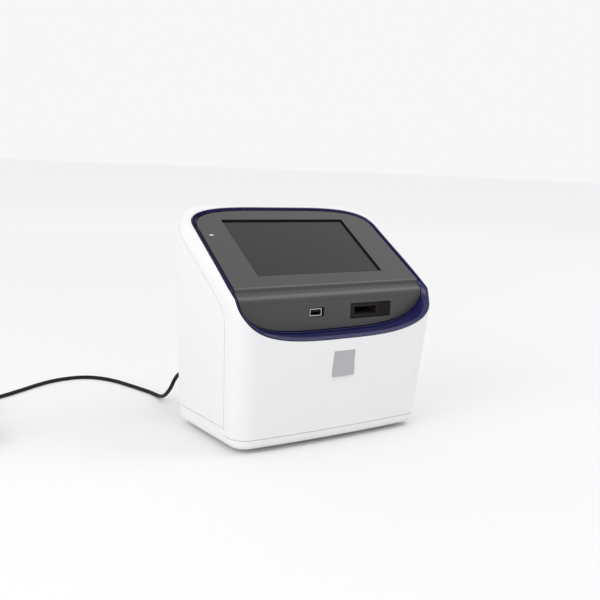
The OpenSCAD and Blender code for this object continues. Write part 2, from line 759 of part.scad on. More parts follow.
// ---- slide port, guide and carriage ----
port_plate_t = 2;
port_flange = 2;
frame_flange = 1.6;
funnel_w = 0.5;
funnel_h = 0.75;
funnel_deep = 1;
rib_n = 5;
rib_w = 1.6;
rib_pitch = 3.55;
rib_proud = 1.2;
rib_in = 2;
module slide_port_frame() {
    color("black") difference() {
        on_chin(port_x, port_z) {
            translate([-port_w / 2 + fit_gap, -port_h / 2 + fit_gap, -bezel_t - frame_flange])
                cube([port_w - 2 * fit_gap, port_h - 2 * fit_gap, bezel_t + frame_flange - port_sink]);
            translate([-port_w / 2 - port_flange, -port_h / 2 - port_flange, -bezel_t - frame_flange])
                cube([port_w + 2 * port_flange, port_h + 2 * port_flange, frame_flange]);
            for (i = [0:rib_n - 1])
                translate([port_w / 2 - rib_in - rib_w - i * rib_pitch, -port_h / 2 + 1, -port_sink - 1])
                    cube([rib_w, port_h - 2, 1 + rib_proud]);
        }
        translate([slide_x - slide_w / 2, -far / 2, slide_z]) cube([slide_w, far, slide_h]);
        on_chin(slide_x, port_z)
            translate([-slide_w / 2 - funnel_w, -slide_h / 2 - funnel_h, -port_sink - funnel_deep])
                cube([slide_w + 2 * funnel_w, slide_h + 2 * funnel_h, far]);
    }
}

guide_gap = 1;
guide_y0 = port_y + bezel_t + frame_flange + guide_gap;
guide_wall = 3;
guide_t = 3;
lip = 2.5;
carriage_y = 16;
carriage_len = 12;
spring_y0 = carriage_y + carriage_len;
spring_solid = 7;
spring_y1 = spring_y0 + push_travel + spring_solid;
guide_y1 = spring_y1 + guide_wall;
slide_gap = 0.1;
guide_h = guide_t + slide_h + guide_t / 2;
module slide_guide() {
    color("slategray") difference() {
        translate([slide_x - slide_w / 2 - guide_wall, guide_y0, slide_z - guide_t])
            cube([slide_w + 2 * guide_wall, guide_y1 - guide_y0, guide_h]);
        translate([slide_x - slide_w / 2, guide_y0 - 1, slide_z])
            cube([slide_w, guide_y1 - guide_y0 - guide_wall + 1, slide_h]);
        translate([slide_x - slide_w / 2 + lip, guide_y0 - 1, slide_z])
            cube([slide_w - 2 * lip, guide_y1 - guide_y0 - guide_wall + 1, 3 * slide_h]);
        translate([slide_x, axis_y, slide_z - 2 * guide_t]) cylinder(r = barrel_r - 1, h = 3 * guide_t);
    }
}

module slide_carriage() {
    color("gold") difference() {
        translate([slide_x - slide_w / 2 + slide_gap, carriage_y, slide_z + slide_gap])
            cube([slide_w - 2 * slide_gap, carriage_len, slide_h - 2 * slide_gap]);
        translate([slide_x - slide_w / 2 - 1, carriage_y - 1, slide_z + 1])
            cube([slide_w + 2, 5, 2.2]);
        translate([slide_x, spring_y0 + 1, slide_z + slide_h / 2]) rotate([90, 0, 0])
            cylinder(r = spring_r + 0.6, h = 4);
    }
}

spring_r = 2;
spring_wire = 0.5;
spring_turns = 6;
spring_sides = 6;
spring_steps = 12;
spring_len = spring_y1 - spring_y0 + 3 - 2 * spring_wire;
function spring_pt(u) = [
    spring_r * cos(360 * u * spring_turns),
    spring_y0 - 3 + spring_wire + u * spring_len,
    spring_r * sin(360 * u * spring_turns)
];
// Tube of n sides along points, each ring square to the way between its neighbours.
function ring_at(pts, i, r, n) =
    let(d = pts[min(i + 1, len(pts) - 1)] - pts[max(i - 1, 0)], w = d / norm(d),
        side = cross(w, [0, 0, 1]), u = norm(side) > 0.01 ? side / norm(side) : [1, 0, 0],
        v = cross(w, u))
    [for (k = [0:n - 1]) pts[i] + r * (cos(360 * k / n) * u + sin(360 * k / n) * v)];
module tube(pts, r, n) {
    rings = len(pts);
    all = [for (i = [0:rings - 1]) for (p = ring_at(pts, i, r, n)) p];
    walls = [for (i = [0:rings - 2]) for (k = [0:n - 1])
        let(a = i * n + k, b = i * n + (k + 1) % n)
            each [[a, a + n, b + n], [a, b + n, b]]];
    polyhedron(all, concat([[for (k = [0:n - 1]) k]], walls,
        [[for (k = [n - 1:-1:0]) (rings - 1) * n + k]]), convexity = 8);
}
module eject_spring() {
    color("silver") translate([slide_x, 0, slide_z + slide_h / 2])
        tube([for (i = [0:spring_turns * spring_steps]) spring_pt(i / (spring_turns * spring_steps))],
             spring_wire / 2, spring_sides);
}

// ---- optics frame ----
shelf_t = 6;
shelf_z = slide_z - guide_t - shelf_t;
column_y = guide_y1 - 8;
column_t = 8;
arm_z = 149;
arm_t = 5;
foot_front = -34;
frame_floor = 6;
rod_y = 24;
module optics_frame() {
    color("darkgray") difference() {
        union() {
            translate([slide_x - frame_w / 2, foot_front, floor_z])
                cube([frame_w, column_y + column_t - foot_front, frame_floor]);
            translate([slide_x - frame_w / 2, column_y, floor_z])
                cube([frame_w, column_t, arm_z + arm_t - floor_z]);
            translate([slide_x - frame_w / 2, foot_front, shelf_z])
                cube([frame_w, column_y + column_t - foot_front, shelf_t]);
            translate([slide_x - frame_w / 4, axis_y - barrel_r - 3, arm_z])
                cube([frame_w / 2, column_y - axis_y + barrel_r + 4, arm_t]);
        }
        translate([slide_x - slide_w / 2 - guide_wall - fit_gap, axis_y + 20, slide_z - guide_t])
            cube([slide_w + 2 * guide_wall + 2 * fit_gap, 60, slide_h + 2 * guide_t]);
        translate([slide_x, axis_y, shelf_z - 1]) cylinder(r = barrel_r + 1, h = shelf_t + 2);
        for (s = [-1, 1]) translate([slide_x + s * rod_dx, rod_y, floor_z + 2])
            cylinder(r = rod_r, h = shelf_z + shelf_t - floor_z - 3);
        translate([slide_x, rod_y, floor_z + frame_floor - 3]) cylinder(r = motor_r, h = 4);
        translate([slide_x, rod_y, shelf_z - 1]) cylinder(r = screw_r + run_gap, h = 4);
    }
}

lamp_wall = 1.5;
lamp_z0 = slide_z + slide_h + guide_t;
module lamp_housing() {
    color("dimgray") translate([slide_x, axis_y, 0]) difference() {
        translate([0, 0, lamp_z0]) cylinder(r = barrel_r, h = arm_z - lamp_z0);
        translate([0, 0, lamp_z0 + 1]) cylinder(r = barrel_r - lamp_wall, h = arm_z);
        translate([0, 0, lamp_z0 - 1]) cylinder(r = barrel_r - 2 * lamp_wall, h = 3);
    }
}
module condenser_lens() {
    color("lightcyan") translate([slide_x, axis_y, lamp_z0 + 1])
        cylinder(r = barrel_r - lamp_wall - fit_gap, h = 3);
}
module lamp_board() {
    color(board_green) translate([slide_x, axis_y, arm_z - 1.6])
        cylinder(r = barrel_r - lamp_wall - fit_gap, h = 1.6);
}
module led_emitter() {
    color("khaki") translate([slide_x - 1.75, axis_y - 1.75, arm_z - 1.6 - 1.4]) cube([3.5, 3.5, 1.4]);
}

module focus_guide_rods() {
    color("silver") for (s = [-1, 1]) translate([slide_x + s * rod_dx, rod_y, floor_z + 2])
        cylinder(r = rod_r, h = shelf_z + shelf_t - floor_z - 3);
}
motor_z = floor_z + frame_floor - 3;
module focus_motor() {
    color("gray") translate([slide_x, rod_y, motor_z]) difference() {
        cylinder(r = motor_r, h = motor_h);
        translate([0, 0, motor_h - 8]) cylinder(r = screw_r + run_gap, h = 9);
    }
}
module focus_lead_screw() {
    color("goldenrod") translate([slide_x, rod_y, motor_z + motor_h - 7.5])
        cylinder(r = screw_r, h = shelf_z + 2 - (motor_z + motor_h - 7.5));
}

block_z = 62;
block_h = 18;
module focus_carriage() {
    color("slategray") difference() {
        union() {
            translate([slide_x - rod_dx - rod_r - 3, rod_y - 8, block_z])
                cube([2 * (rod_dx + rod_r + 3), 13, block_h]);
            translate([slide_x, axis_y, block_z]) cylinder(r = barrel_r + 3, h = block_h);
        }
        for (s = [-1, 1]) translate([slide_x + s * rod_dx, rod_y, block_z - 1])
            cylinder(r = rod_r + run_gap, h = block_h + 2);
        translate([slide_x, rod_y, block_z - 1]) cylinder(r = screw_r + run_gap, h = block_h + 2);
        translate([slide_x, axis_y, block_z - 1]) cylinder(r = barrel_r, h = block_h + 2);
    }
}
barrel_z = block_z - 4;
barrel_h = shelf_z - 3 * focus_travel - barrel_z;
module objective_barrel() {
    color("dimgray") translate([slide_x, axis_y, barrel_z]) difference() {
        cylinder(r = barrel_r, h = barrel_h);
        translate([0, 0, -1]) cylinder(r = barrel_r - lamp_wall, h = barrel_h - 3);
        cylinder(r = barrel_r - 3 * lamp_wall, h = barrel_h + 1);
    }
}
module objective_lens() {
    color("lightcyan") translate([slide_x, axis_y, barrel_z + barrel_h - 4 - 4])
        cylinder(r = barrel_r - lamp_wall - fit_gap, h = 4);
}
module camera_board() {
    color(board_green) translate([slide_x - 14, axis_y - 12, barrel_z - 1.6]) cube([28, 24, 1.6]);
}
module image_sensor() {
    color("black") translate([slide_x - 4, axis_y - 4, barrel_z]) cube([8, 8, 1.2]);
}

// ---- main board, beside the optics frame ----
board = [88, 84, 1.6];
board_gap = 8.4;
board_at = [slide_x - frame_w / 2 - board_gap - board[0], -board[1] / 2, 17];
hole_inset = 5;
board_holes = [for (x = [hole_inset, board[0] - hole_inset], y = [hole_inset, board[1] - hole_inset])
    [board_at[0] + x, board_at[1] + y]];
board_hole_r = 1.6;
chip_places = [[20, 20, 14], [45, 24, 18], [24, 52, 12], [60, 56, 10], [66, 18, 8]];
module main_board() {
    color(board_green) difference() {
        union() {
            translate(board_at) cube(board);
            for (c = chip_places) translate(board_at + [c[0], c[1], board[2] - eps]) cube([c[2], c[2], 2]);
        }
        for (p = board_holes) translate([p[0], p[1], board_at[2] - 1]) cylinder(r = board_hole_r, h = 4);
    }
}
module board_standoffs() {
    color("goldenrod") for (p = board_holes) translate([p[0], p[1], floor_z]) difference() {
        cylinder(r = 3, h = board_at[2] - floor_z);
        translate([0, 0, 2]) cylinder(r = board_hole_r - 0.2, h = board_at[2]);
    }
}
module board_screws() {
    color("silver") for (p = board_holes) translate([p[0], p[1], board_at[2] + board[2]]) {
        cylinder(r = 2.8, h = 2);
        translate([0, 0, -5]) cylinder(r = board_hole_r - 0.25, h = 5.1);
    }
}

switch_lip = 1.5;
switch_deep = 14;
rocker_w = 14;
rocker_h = 9.6;
module power_switch_frame() {
    color("black") translate([switch_x, rear_y, switch_z]) difference() {
        union() {
            translate([-switch_w / 2, -switch_deep, -switch_h / 2]) cube([switch_w, switch_deep, switch_h]);
            translate([-switch_w / 2 - switch_lip, 0, -switch_h / 2 - switch_lip])
                cube([switch_w + 2 * switch_lip, switch_lip, switch_h + 2 * switch_lip]);
        }
        translate([-rocker_w / 2 - 0.3, -8, -rocker_h / 2 - 1]) cube([rocker_w + 0.6, 20, rocker_h + 2]);
        translate([-rocker_w / 2 - 1.3, -3, 0]) rotate([0, 90, 0])
            cylinder(r = 1 + run_gap, h = rocker_w + 2.6);
    }
}
rocker_a = 7;
module power_rocker() {
    color("black") translate([switch_x, rear_y - 3, switch_z]) {
        rotate([rocker_a, 0, 0]) intersection() {
            translate([-rocker_w / 2, -3, -rocker_h / 2]) cube([rocker_w, 10, rocker_h]);
            translate([-rocker_w / 2, 16, 0]) difference() {
                translate([0, -18.5, -8]) cube([rocker_w, 14, 16]);
                rotate([0, 90, 0]) translate([0, 0, -1]) cylinder(r = 12, h = rocker_w + 2);
            }
        }
        translate([-rocker_w / 2 - 1, 0, 0]) rotate([0, 90, 0]) cylinder(r = 1, h = rocker_w + 2);
    }
}
jack_bore = 2.9;
module dc_jack() {
    color("black") translate([jack_x, rear_y, jack_z]) rotate([90, 0, 0]) difference() {
        union() {
            translate([0, 0, -1.5]) cylinder(r = jack_r + 1.5, h = 1.5);
            cylinder(r = jack_r, h = 13);
        }
        translate([0, 0, -2]) cylinder(r = jack_bore, h = 12);
    }
}

// ---- lead: plug, tube, coil and adapter ----
plug_r = 5;
plug_len = 18;
plug_y = rear_y + 1.5;
relief_len = 12;
cord_r = cord_d / 2;
module dc_plug() {
    color("black") translate([jack_x, plug_y, jack_z]) rotate([-90, 0, 0]) {
        cylinder(r = plug_r, h = plug_len);
        translate([0, 0, -9.5]) cylinder(r = jack_bore - 0.1, h = 10);
    }
}
module plug_strain_relief() {
    color("black") translate([jack_x, plug_y + plug_len, jack_z]) rotate([-90, 0, 0])
        cylinder(r1 = plug_r - 1, r2 = cord_r + 0.5, h = relief_len);
}
cord_z = cord_r + 0.05;
coil_x = -296;
coil_y = 184;
coil_out = coil_r + cord_d;
cord_y0 = plug_y + plug_len + relief_len;
cord_pts = [
    [jack_x, cord_y0, jack_z], [jack_x, cord_y0 + 2, jack_z], [-88.2, 106, 39.4], [-90, 111, 36],
    [-92.5, 116, 29.5],
    [-94.5, 121, 21.5], [-95.5, 128, 14], [-95, 137, 8], [-93, 147, 4.2], [-91.5, 158, 2.4],
    [-92.5, 172, cord_z], [-96, 188, cord_z], [-102.5, 213, cord_z], [-110.5, 238, cord_z],
    [-122, 257, cord_z], [-137, 268, cord_z], [-157, 270, cord_z], [-176, 266, cord_z],
    [-195, 257, cord_z], [-219, 242, cord_z], [-247, 226, cord_z], [-270, 216.5, cord_z],
    [-296, coil_y + coil_out, cord_z]
];
module dc_cord() {
    color("black") {
        tube(cord_pts, cord_r, 8);
        tube(tail_pts, cord_r, 8);
    }
}
module dc_cord_coil() {
    color("black") translate([coil_x, coil_y, 0]) rotate_extrude() {
        translate([coil_r - coil_rows * cord_d / 2, 0]) square([coil_rows * cord_d, coil_high]);
    }
}
coil_high = 3 * cord_d;
adapter = [36, 62, 27];
adapter_x = coil_x - coil_out;
adapter_y = 74;
adapter_end = adapter_y + adapter[1];
adapter_relief = 12;
exit_z = 10;
tail_pts = [
    [adapter_x, coil_y, coil_high - cord_r], [adapter_x, coil_y - 14, coil_high - cord_r],
    [adapter_x, coil_y - 24, coil_high - cord_r - 0.2],
    [adapter_x, adapter_end + adapter_relief + 2, exit_z],
    [adapter_x, adapter_end + adapter_relief, exit_z]
];
module adapter_body() {
    color("black") translate([adapter_x - adapter[0] / 2, adapter_y, 0]) cube(adapter);
}
module adapter_blades() {
    color("silver") for (s = [-1, 1])
        translate([adapter_x + s * 6.35 - 0.75, adapter_y - 16, adapter[2] / 2 - 3.2]) cube([1.5, 18, 6.4]);
}
module adapter_strain_relief() {
    color("black") translate([adapter_x, adapter_end, exit_z]) rotate([-90, 0, 0])
        cylinder(r1 = 4, r2 = cord_r + 0.5, h = adapter_relief);
}

front_shell();
left_side_panel();
right_side_panel();
rear_cover();
base_pan();
feet();
base_screws();
trim_ring();
display_bezel();
badge_plate();
status_light_pipe();
touch_glass();
display_gasket();
lcd_panel();
display_bracket();
display_board();
bracket_screws();
usb_shell();
usb_tongue();
port_board();
slide_port_frame();
slide_guide();
slide_carriage();
eject_spring();
optics_frame();
lamp_housing();
condenser_lens();
lamp_board();
led_emitter();
focus_guide_rods();
focus_motor();
focus_lead_screw();
focus_carriage();
objective_barrel();
objective_lens();
camera_board();
image_sensor();
main_board();
board_standoffs();
board_screws();
power_switch_frame();
power_rocker();
dc_jack();
dc_plug();
plug_strain_relief();
dc_cord();
dc_cord_coil();
adapter_body();
adapter_blades();
adapter_strain_relief();
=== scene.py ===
"""Looks of the bench-top cell counter: mouldings, trim ring, bezel, ports, lead and finishes."""

import functools
import json
import math

import bmesh
import bpy
from mathutils import Matrix, Vector
from mathutils.bvhtree import BVHTree


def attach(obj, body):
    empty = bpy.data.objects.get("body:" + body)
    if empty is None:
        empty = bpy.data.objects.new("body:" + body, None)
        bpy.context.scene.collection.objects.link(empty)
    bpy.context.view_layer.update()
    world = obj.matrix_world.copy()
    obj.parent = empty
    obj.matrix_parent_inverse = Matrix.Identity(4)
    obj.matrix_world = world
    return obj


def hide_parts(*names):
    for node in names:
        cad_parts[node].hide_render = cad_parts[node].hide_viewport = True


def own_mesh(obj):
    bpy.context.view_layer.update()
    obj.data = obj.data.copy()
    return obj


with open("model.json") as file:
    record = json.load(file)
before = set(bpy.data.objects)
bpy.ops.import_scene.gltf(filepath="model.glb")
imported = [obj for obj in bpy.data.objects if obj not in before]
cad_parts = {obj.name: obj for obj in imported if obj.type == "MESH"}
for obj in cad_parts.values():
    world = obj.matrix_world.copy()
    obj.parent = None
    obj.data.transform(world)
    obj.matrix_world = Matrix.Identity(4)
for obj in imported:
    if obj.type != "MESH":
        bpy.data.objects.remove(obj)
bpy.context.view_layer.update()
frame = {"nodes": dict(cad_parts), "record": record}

MM = 0.001
# Reach of cutters that pass the whole machine, and how far smaller cutters pass the faces they meet.
FAR = 400.0
PAST = 1.0
# What still counts as the middle line.
TINY = 1e-6
# Edge angles in degrees up to which faces are smooth.
SMOOTH_ANGLE = 30
RING_SMOOTH_ANGLE = 50

# Sizes down to the camera are in millimetres, along the frame's axes.
# ---- sizes: casing ----
BODY_DEPTH = 136.5
CASING_Y = -2.0
BASE_W = 220.4
SIDE_LEAN = math.radians(3.73)
FRONT_LEAN = math.radians(5.09)
SLOPE = math.radians(32.57)
WALL = 3.0
BASE_Z = 4.0
BASE_ROUND = 7.0
FORM_STEPS = 24
INSIDE_STEPS = 12

# Brow, the round edge between the front and the display face.
BROW_Z = 125.6
BROW_R = 20.0
BROW_FLAT = 21.25
BROW_CORNER_R = 22.0

# Upright corners and the crown of the front.
CORNER_R = 18.0
REAR_R = 10.0
CROWN = 2.8

# Rounded edge of the display face, and the height of the casing's highest level outline.
TOP_R = 38.0
SHOULDER_Z = 182.0
EDGE_R = 8.0
EDGE_RUN = 13.0
EDGE_REAR_SHARE = 0.35

# Parting lines between the mouldings.
SEAM = 0.5
FRONT_SEAM_Z = 14.0
SIDE_SEAM_Z = 21.0
GROOVE_BACK = 28.4
GROOVE_R = 24.0
GROOVE_Z = 123.2
GROOVE_SLOPE = math.radians(37.2)
GROOVE_STEPS = 24
REAR_STRIP = 15.0

# From the brow up the display face to the bezel's crease.
CREASE_T = 22.5

REAR_Y = CASING_Y + BODY_DEPTH / 2
BROW_Y = CASING_Y - BODY_DEPTH / 2 + BROW_R
SLOPE_Y = BROW_Y - BROW_R * math.sin(SLOPE)
SLOPE_Z = BROW_Z + BROW_R * math.cos(SLOPE)
CREASE_Y = SLOPE_Y + CREASE_T * math.cos(SLOPE)
CREASE_Z = SLOPE_Z + CREASE_T * math.sin(SLOPE)
EDGE_START_Z = CREASE_Z - EDGE_RUN * math.sin(SLOPE)


def half_width(z):
    return BASE_W / 2 + z * math.tan(SIDE_LEAN)


def front_y(z):
    return BROW_Y - BROW_R / math.cos(FRONT_LEAN) - (z - BROW_Z) * math.tan(FRONT_LEAN)


def slope_y_at(z):
    return SLOPE_Y + (z - SLOPE_Z) / math.tan(SLOPE)


# ---- sizes: opening of the front shell ----
RIM_SIDE_MARGIN = 4.9
RIM_REAR_MARGIN = 3.7
RIM_HALF = half_width(CREASE_Z) - RIM_SIDE_MARGIN
RIM_TAPER = 2.5
RIM_BOTTOM_Z = 105.5
RIM_CORNER_H = 51.0
RIM_CORNER_Z = RIM_BOTTOM_Z + RIM_CORNER_H
RIM_FLAT = 9.4
RIM_TOP_LEN = 38.5
RIM_TOP_FLAT = 19.9
RIM_POWER = 3.1
RIM_CORNER_STEPS = 40
RIM_SIDE_STEPS = 12
RIM_FLAT_STEPS = 3
RIM_LEN = (REAR_Y - RIM_REAR_MARGIN - CREASE_Y) / math.cos(SLOPE)
RIM_TOP_Z = CREASE_Z + (RIM_LEN - RIM_TOP_LEN) * math.sin(SLOPE)

# ---- sizes: trim ring ----
RING_W = 4.8
RING_LOW_W = 6.4
RING_GAP = 0.35
RING_DEEP = 6.0
RING_TURN = 40.0
# Section across the ring from its outer edge: inset at the side, inset at the bottom, depth.
RING_OUTER = [
    (0.45, 0.45, 1.8), (0.45, 0.45, 0.0), (0.55, 0.55, -0.15), (0.7, 0.7, -0.2), (0.9, 0.9, -0.15),
    (1.05, 1.15, 0.1), (1.7, 2.5, 2.15), (1.85, 2.75, 2.45), (2.1, 3.1, 2.55)]
RING_EDGE = RING_OUTER[0][:2]
# Shares of the way from there to the inner edge, whose depths are below the bezel's face.
RING_FLOOR = [0.35, 0.7, 0.93]
RING_INNER = [(3.6, 4.8, 0.3), (3.8, 5.0, 0.4), (3.85, 5.05, 0.6), (3.85, 5.05, 3.2), (5.05, 6.65, 3.3)]

# ---- sizes: bezel, a bent sheet with display face, crease, step, ledge and port face ----
BEZEL_SINK = 0.5
BEZEL_T = 3.4
STEP_H = 4.4
STEP_SLOPE = math.radians(80)
STEP_ROUND = 4.8
FOOT_ROUND = 0.8
LEDGE = 8.2
LEDGE_DROP = 5.0
LEDGE_R = 12.5
CHIN_RISE = 4.0
CHIN_LOW_Z = RIM_BOTTOM_Z + CHIN_RISE
HOLE_R = 0.8
FIT = 0.15
# Reach of the cutters across the display face.
SLOPE_CUT = 20.0

# Display window, its black liner of painted shade round the window's wall, and the raised middle of its
# glass.
VIEW_LEFT = 33.5
VIEW_RIGHT = 37.5
VIEW_REAR = 15.8
VIEW_T = 16.0
VIEW_W = 2 * (RIM_HALF - RING_W) - VIEW_LEFT - VIEW_RIGHT
VIEW_H = RIM_LEN - RING_W - VIEW_REAR - VIEW_T
VIEW_X = (VIEW_LEFT - VIEW_RIGHT) / 2
SHADE_LINER_T = 0.4
SHADE_LINER_R = 0.6
SHADE_LINER_DROP = 0.3
GLASS_DROP = 2.0
GLASS_UNDER = 0.6

# Status light.
LIGHT_MARGIN = 12.1
LIGHT_X = LIGHT_MARGIN - (RIM_HALF - RING_W)
LIGHT_T = 79.0
LIGHT_W = 4.2
LIGHT_H = 1.6
LIGHT_R = 0.6

# ---- sizes: ports ----
# Reach of their cutters ahead of the port face and behind it.
CUT_AHEAD = 10.0
CUT_BEHIND = 40.0

# Slide port: its hole, its sunk frame with ribs at the right, and the slide's mouth.
PORT_X = 42.8
PORT_Z = 127.5
PORT_W = 51.5
PORT_H = 15.4
PORT_SINK = 1.0
PORT_GAP = 0.7
PORT_FLANGE = 2.0
PORT_FLANGE_T = 2.0
RIB_N = 5
RIB_W = 1.6
RIB_PITCH = 2.9
RIB_PROUD = 0.4
RIB_IN = 2.0
RIB_SHORT = 2.0
SLIDE_X = 36.4
SLIDE_W = 26.0
SLIDE_H = 6.2
MOUTH_X = 36.7
MOUTH_W = 27.0
MOUTH_H = 7.6
MOUTH_DEEP = 2.6

# USB port: its hole in the bezel, and the pressed shell behind.
USB_HOLE_X = -23.2
USB_HOLE_W = 17.6
USB_HOLE_H = 8.8
USB_X = -24.4
USB_Z = 128.9
USB_W = 13.4
USB_H = 6.8
USB_T = 0.5
USB_RIM = 1.5
USB_SINK = 0.4
USB_LEN = 14.0

# Return spring of the slide.
SPRING_R = 2.0
SPRING_WIRE = 0.5
SPRING_TURNS = 6
SPRING_STEPS = 16
SPRING_SIDES = 8
SPRING_Y0 = 25.5
SPRING_Y1 = 42.5

# ---- sizes: badge plate's seat in the front shell ----
PLATE_W = 25.0
PLATE_Z = 80.4
PLATE_SINK = 1.0
PLATE_GAP = 0.2

# ---- sizes: rear and underside ----
VENT_N = 14
VENT_PITCH = 6.0
VENT_W = 2.6
VENT_H = 34.0
VENT_X = 30.0
VENT_Z = 120.0
SWITCH_AT = (-58.0, 45.0)
SWITCH_SIZE = (19.0, 13.0)
JACK_AT = (-88.0, 40.0)
JACK_R = 4.5
JACK_STEPS = 48
FOOT_X = 84.0
FOOT_FRONT_IN = 32.0
FOOT_REAR_IN = 15.0
FOOT_YS = (front_y(BASE_Z) + FOOT_FRONT_IN, REAR_Y - FOOT_REAR_IN)
FOOT_HOLE_R = 1.85
FOOT_STEPS = 24
BASE_SLOT_N = 9
BASE_SLOT_W = 3.0
BASE_SLOT_LEN = 40.0
BASE_SLOT_X = -60.0
# Straight stretch left between the round corners at a slot's end, on each side of its middle.
SLOT_FLAT = 0.05

# ---- sizes: supply lead ----
PLUG_PROUD = 1.5
PLUG_LEN = 18.0
PLUG_RELIEF = 12.0
CORD_D = 4.2
CORD_CLEAR = 0.05
CORD_Z = CORD_D / 2 + CORD_CLEAR
CORD_Y0 = REAR_Y + PLUG_PROUD + PLUG_LEN + PLUG_RELIEF
COIL_AT = (-296.0, 184.0)
COIL_R = 23.1
COIL_LAP = 0.02
# Each turn of the coil: row from the middle outward (-1, 0 or 1) and layer from the bench.
COIL_TURNS = [(1, 0), (0, 0), (-1, 0), (-1, 1), (0, 1), (1, 1), (0, 2), (1, 2)]
# Share of the last turn that is left off, and of each turn that eases into the next.
COIL_OPEN = 0.75
RAMP = 0.2
TURN_POINTS = 20
ADAPTER_X = COIL_AT[0] - COIL_R - CORD_D
LEAD_END_Y = 148.0
TAIL_Z = 3 * CORD_D - CORD_D / 2
LEAD_ROUTE = [
    (-88, CORD_Y0, 40), (-88, CORD_Y0 + 2, 40), (-88, 106, 39.4), (-88.8, 111, 36), (-90.3, 116, 29.3),
    (-91.4, 121, 21), (-92.2, 128, 13.2), (-92.2, 137, 7.2), (-91.5, 147, 3.8), (-91.2, 158, 2.4),
    (-92.5, 172, CORD_Z), (-96, 188, CORD_Z), (-102.5, 213, CORD_Z), (-110.5, 238, CORD_Z),
    (-122, 257, CORD_Z), (-137, 268, CORD_Z), (-157, 270, CORD_Z), (-176, 266, CORD_Z),
    (-195, 257, CORD_Z), (-219, 242, CORD_Z), (-247, 226, CORD_Z), (-270, 216.5, CORD_Z)]
TAIL_ROUTE = [(ADAPTER_X, 170, TAIL_Z), (ADAPTER_X, 160, TAIL_Z - 0.2), (ADAPTER_X, LEAD_END_Y + 2, 10),
              (ADAPTER_X, LEAD_END_Y, 10)]

# ---- sizes: camera, with its angles in degrees ----
CAMERA_AT = (-485.7, -687.95, 267.6)
CAMERA_YAW = 34.74
CAMERA_PITCH = 9.2
CAMERA_ROLL = 2.48
CAMERA_LENS = 50.25
CAMERA_SENSOR = 36

# ---- sizes: stage, in metres ----
FLOOR_SIZE = 60.0
FLOOR_COLOUR = 0.88
# Painted light: the bench top's colour brightens away from the machine, from the near colour to the far
# one, over the fade's distances.
FLOOR_FAR_PAINTED_LIGHT = 1.0
FLOOR_PAINTED_LIGHT_FADE = (0.4, 2.5)
FLOOR_ROUGHNESS = 0.6
FLOOR_GLOSS = 0.2
BACKDROP = 0.93
SKY_LEVEL = 0.90
SKY_LOW = 0.75
SKY_HIGH = 1.1
SKY_START = -0.1
# Lamp: place, width and power; both look at LAMP_AIM.
LAMPS = {"key": ((-1.95, -0.5, 1.15), 1.6, 13.5), "fill": ((1.35, -0.8, 1.95), 1.2, 8.0)}
LAMP_AIM = (0, 0, 0.1)

# ---- values of the finishes ----
# Slot: colour, roughness, metallic, colour variation, grain size in mm, grain height in mm.
# The slots are the record's; tongue_white is dark, painted shade for the shaded inside of the USB port, as
# the photo shows the port's tongue.
FINISHES = {
    "casing_white": ((0.84, 0.84, 0.85), 0.42, 0, 0.01, 0.5, 0.01),
    "trim_blue": ((0.010, 0.010, 0.078), 0.16, 0, 0.05, 1.0, 0.003),
    "bezel_grey": ((0.047, 0.047, 0.048), 0.30, 0, 0.05, 0.4, 0.005),
    "plate_grey": ((0.43, 0.43, 0.45), 0.30, 0, 0.02, 0.6, 0.005),
    "light_guide": ((0.72, 0.76, 0.95), 0.35, 0, 0.05, 0.5, 0.005),
    "screen_glass": ((0.016, 0.014, 0.015), 0.10, 0, 0.06, 30.0, 0.001),
    "panel_metal": ((0.78, 0.78, 0.79), 0.30, 1, 0.08, 1.0, 0.005),
    "board": ((0.02, 0.12, 0.05), 0.45, 0, 0.25, 2.0, 0.02),
    "black_plastic": ((0.011, 0.008, 0.007), 0.50, 0, 0.15, 0.5, 0.01),
    "tongue_white": ((0.02, 0.018, 0.018), 0.5, 0, 0.03, 0.5, 0.005),
    "carriage_grey": ((0.030, 0.026, 0.024), 0.5, 0, 0.08, 0.5, 0.008),
    "frame_alu": ((0.60, 0.61, 0.63), 0.38, 1, 0.06, 0.3, 0.01),
    "lens": ((0.80, 0.88, 0.92), 0.05, 0, 0.02, 5.0, 0.001),
    "emitter": ((0.85, 0.80, 0.45), 0.4, 0, 0.08, 0.5, 0.005),
    "rod_steel": ((0.65, 0.65, 0.67), 0.15, 1, 0.03, 0.4, 0.003),
    "brass": ((0.70, 0.52, 0.22), 0.25, 1, 0.08, 0.4, 0.006),
    "foot_rubber": ((0.045, 0.045, 0.047), 0.75, 0, 0.15, 0.8, 0.02),
    "screw_steel": ((0.52, 0.52, 0.54), 0.28, 1, 0.06, 0.5, 0.006),
    "cord_black": ((0.007, 0.007, 0.008), 0.5, 0, 0.15, 0.6, 0.01),
    "gasket_foam": ((0.012, 0.012, 0.012), 0.9, 0, 0.2, 0.8, 0.03),
}
USUAL_GLOSS = 0.5
# Slots with less gloss than usual.
GLOSS = {"cord_black": 0.2, "carriage_grey": 0.2, "black_plastic": 0.2, "gasket_foam": 0.1,
         "screen_glass": 0.35, "tongue_white": 0.1}
# Size of the mottle in grains, how far it varies the roughness, detail of both noises, and the bump.
MOTTLE_GRAINS = 20
WEAR = 0.08
MOTTLE_DETAIL = 4
GRAIN_DETAIL = 2
BUMP_STRENGTH = 0.5


# ---- mesh helpers, all in millimetres until a piece is dressed ----
def new_object(name, mesh):
    obj = bpy.data.objects.new(name, mesh)
    bpy.context.scene.collection.objects.link(obj)
    return obj


def mesh_object(name, points, faces):
    mesh = bpy.data.meshes.new(name)
    mesh.from_pydata([tuple(p) for p in points], [], faces)
    bm = bmesh.new()
    bm.from_mesh(mesh)
    bmesh.ops.recalc_face_normals(bm, faces=bm.faces)
    bm.to_mesh(mesh)
    bm.free()
    return new_object(name, mesh)


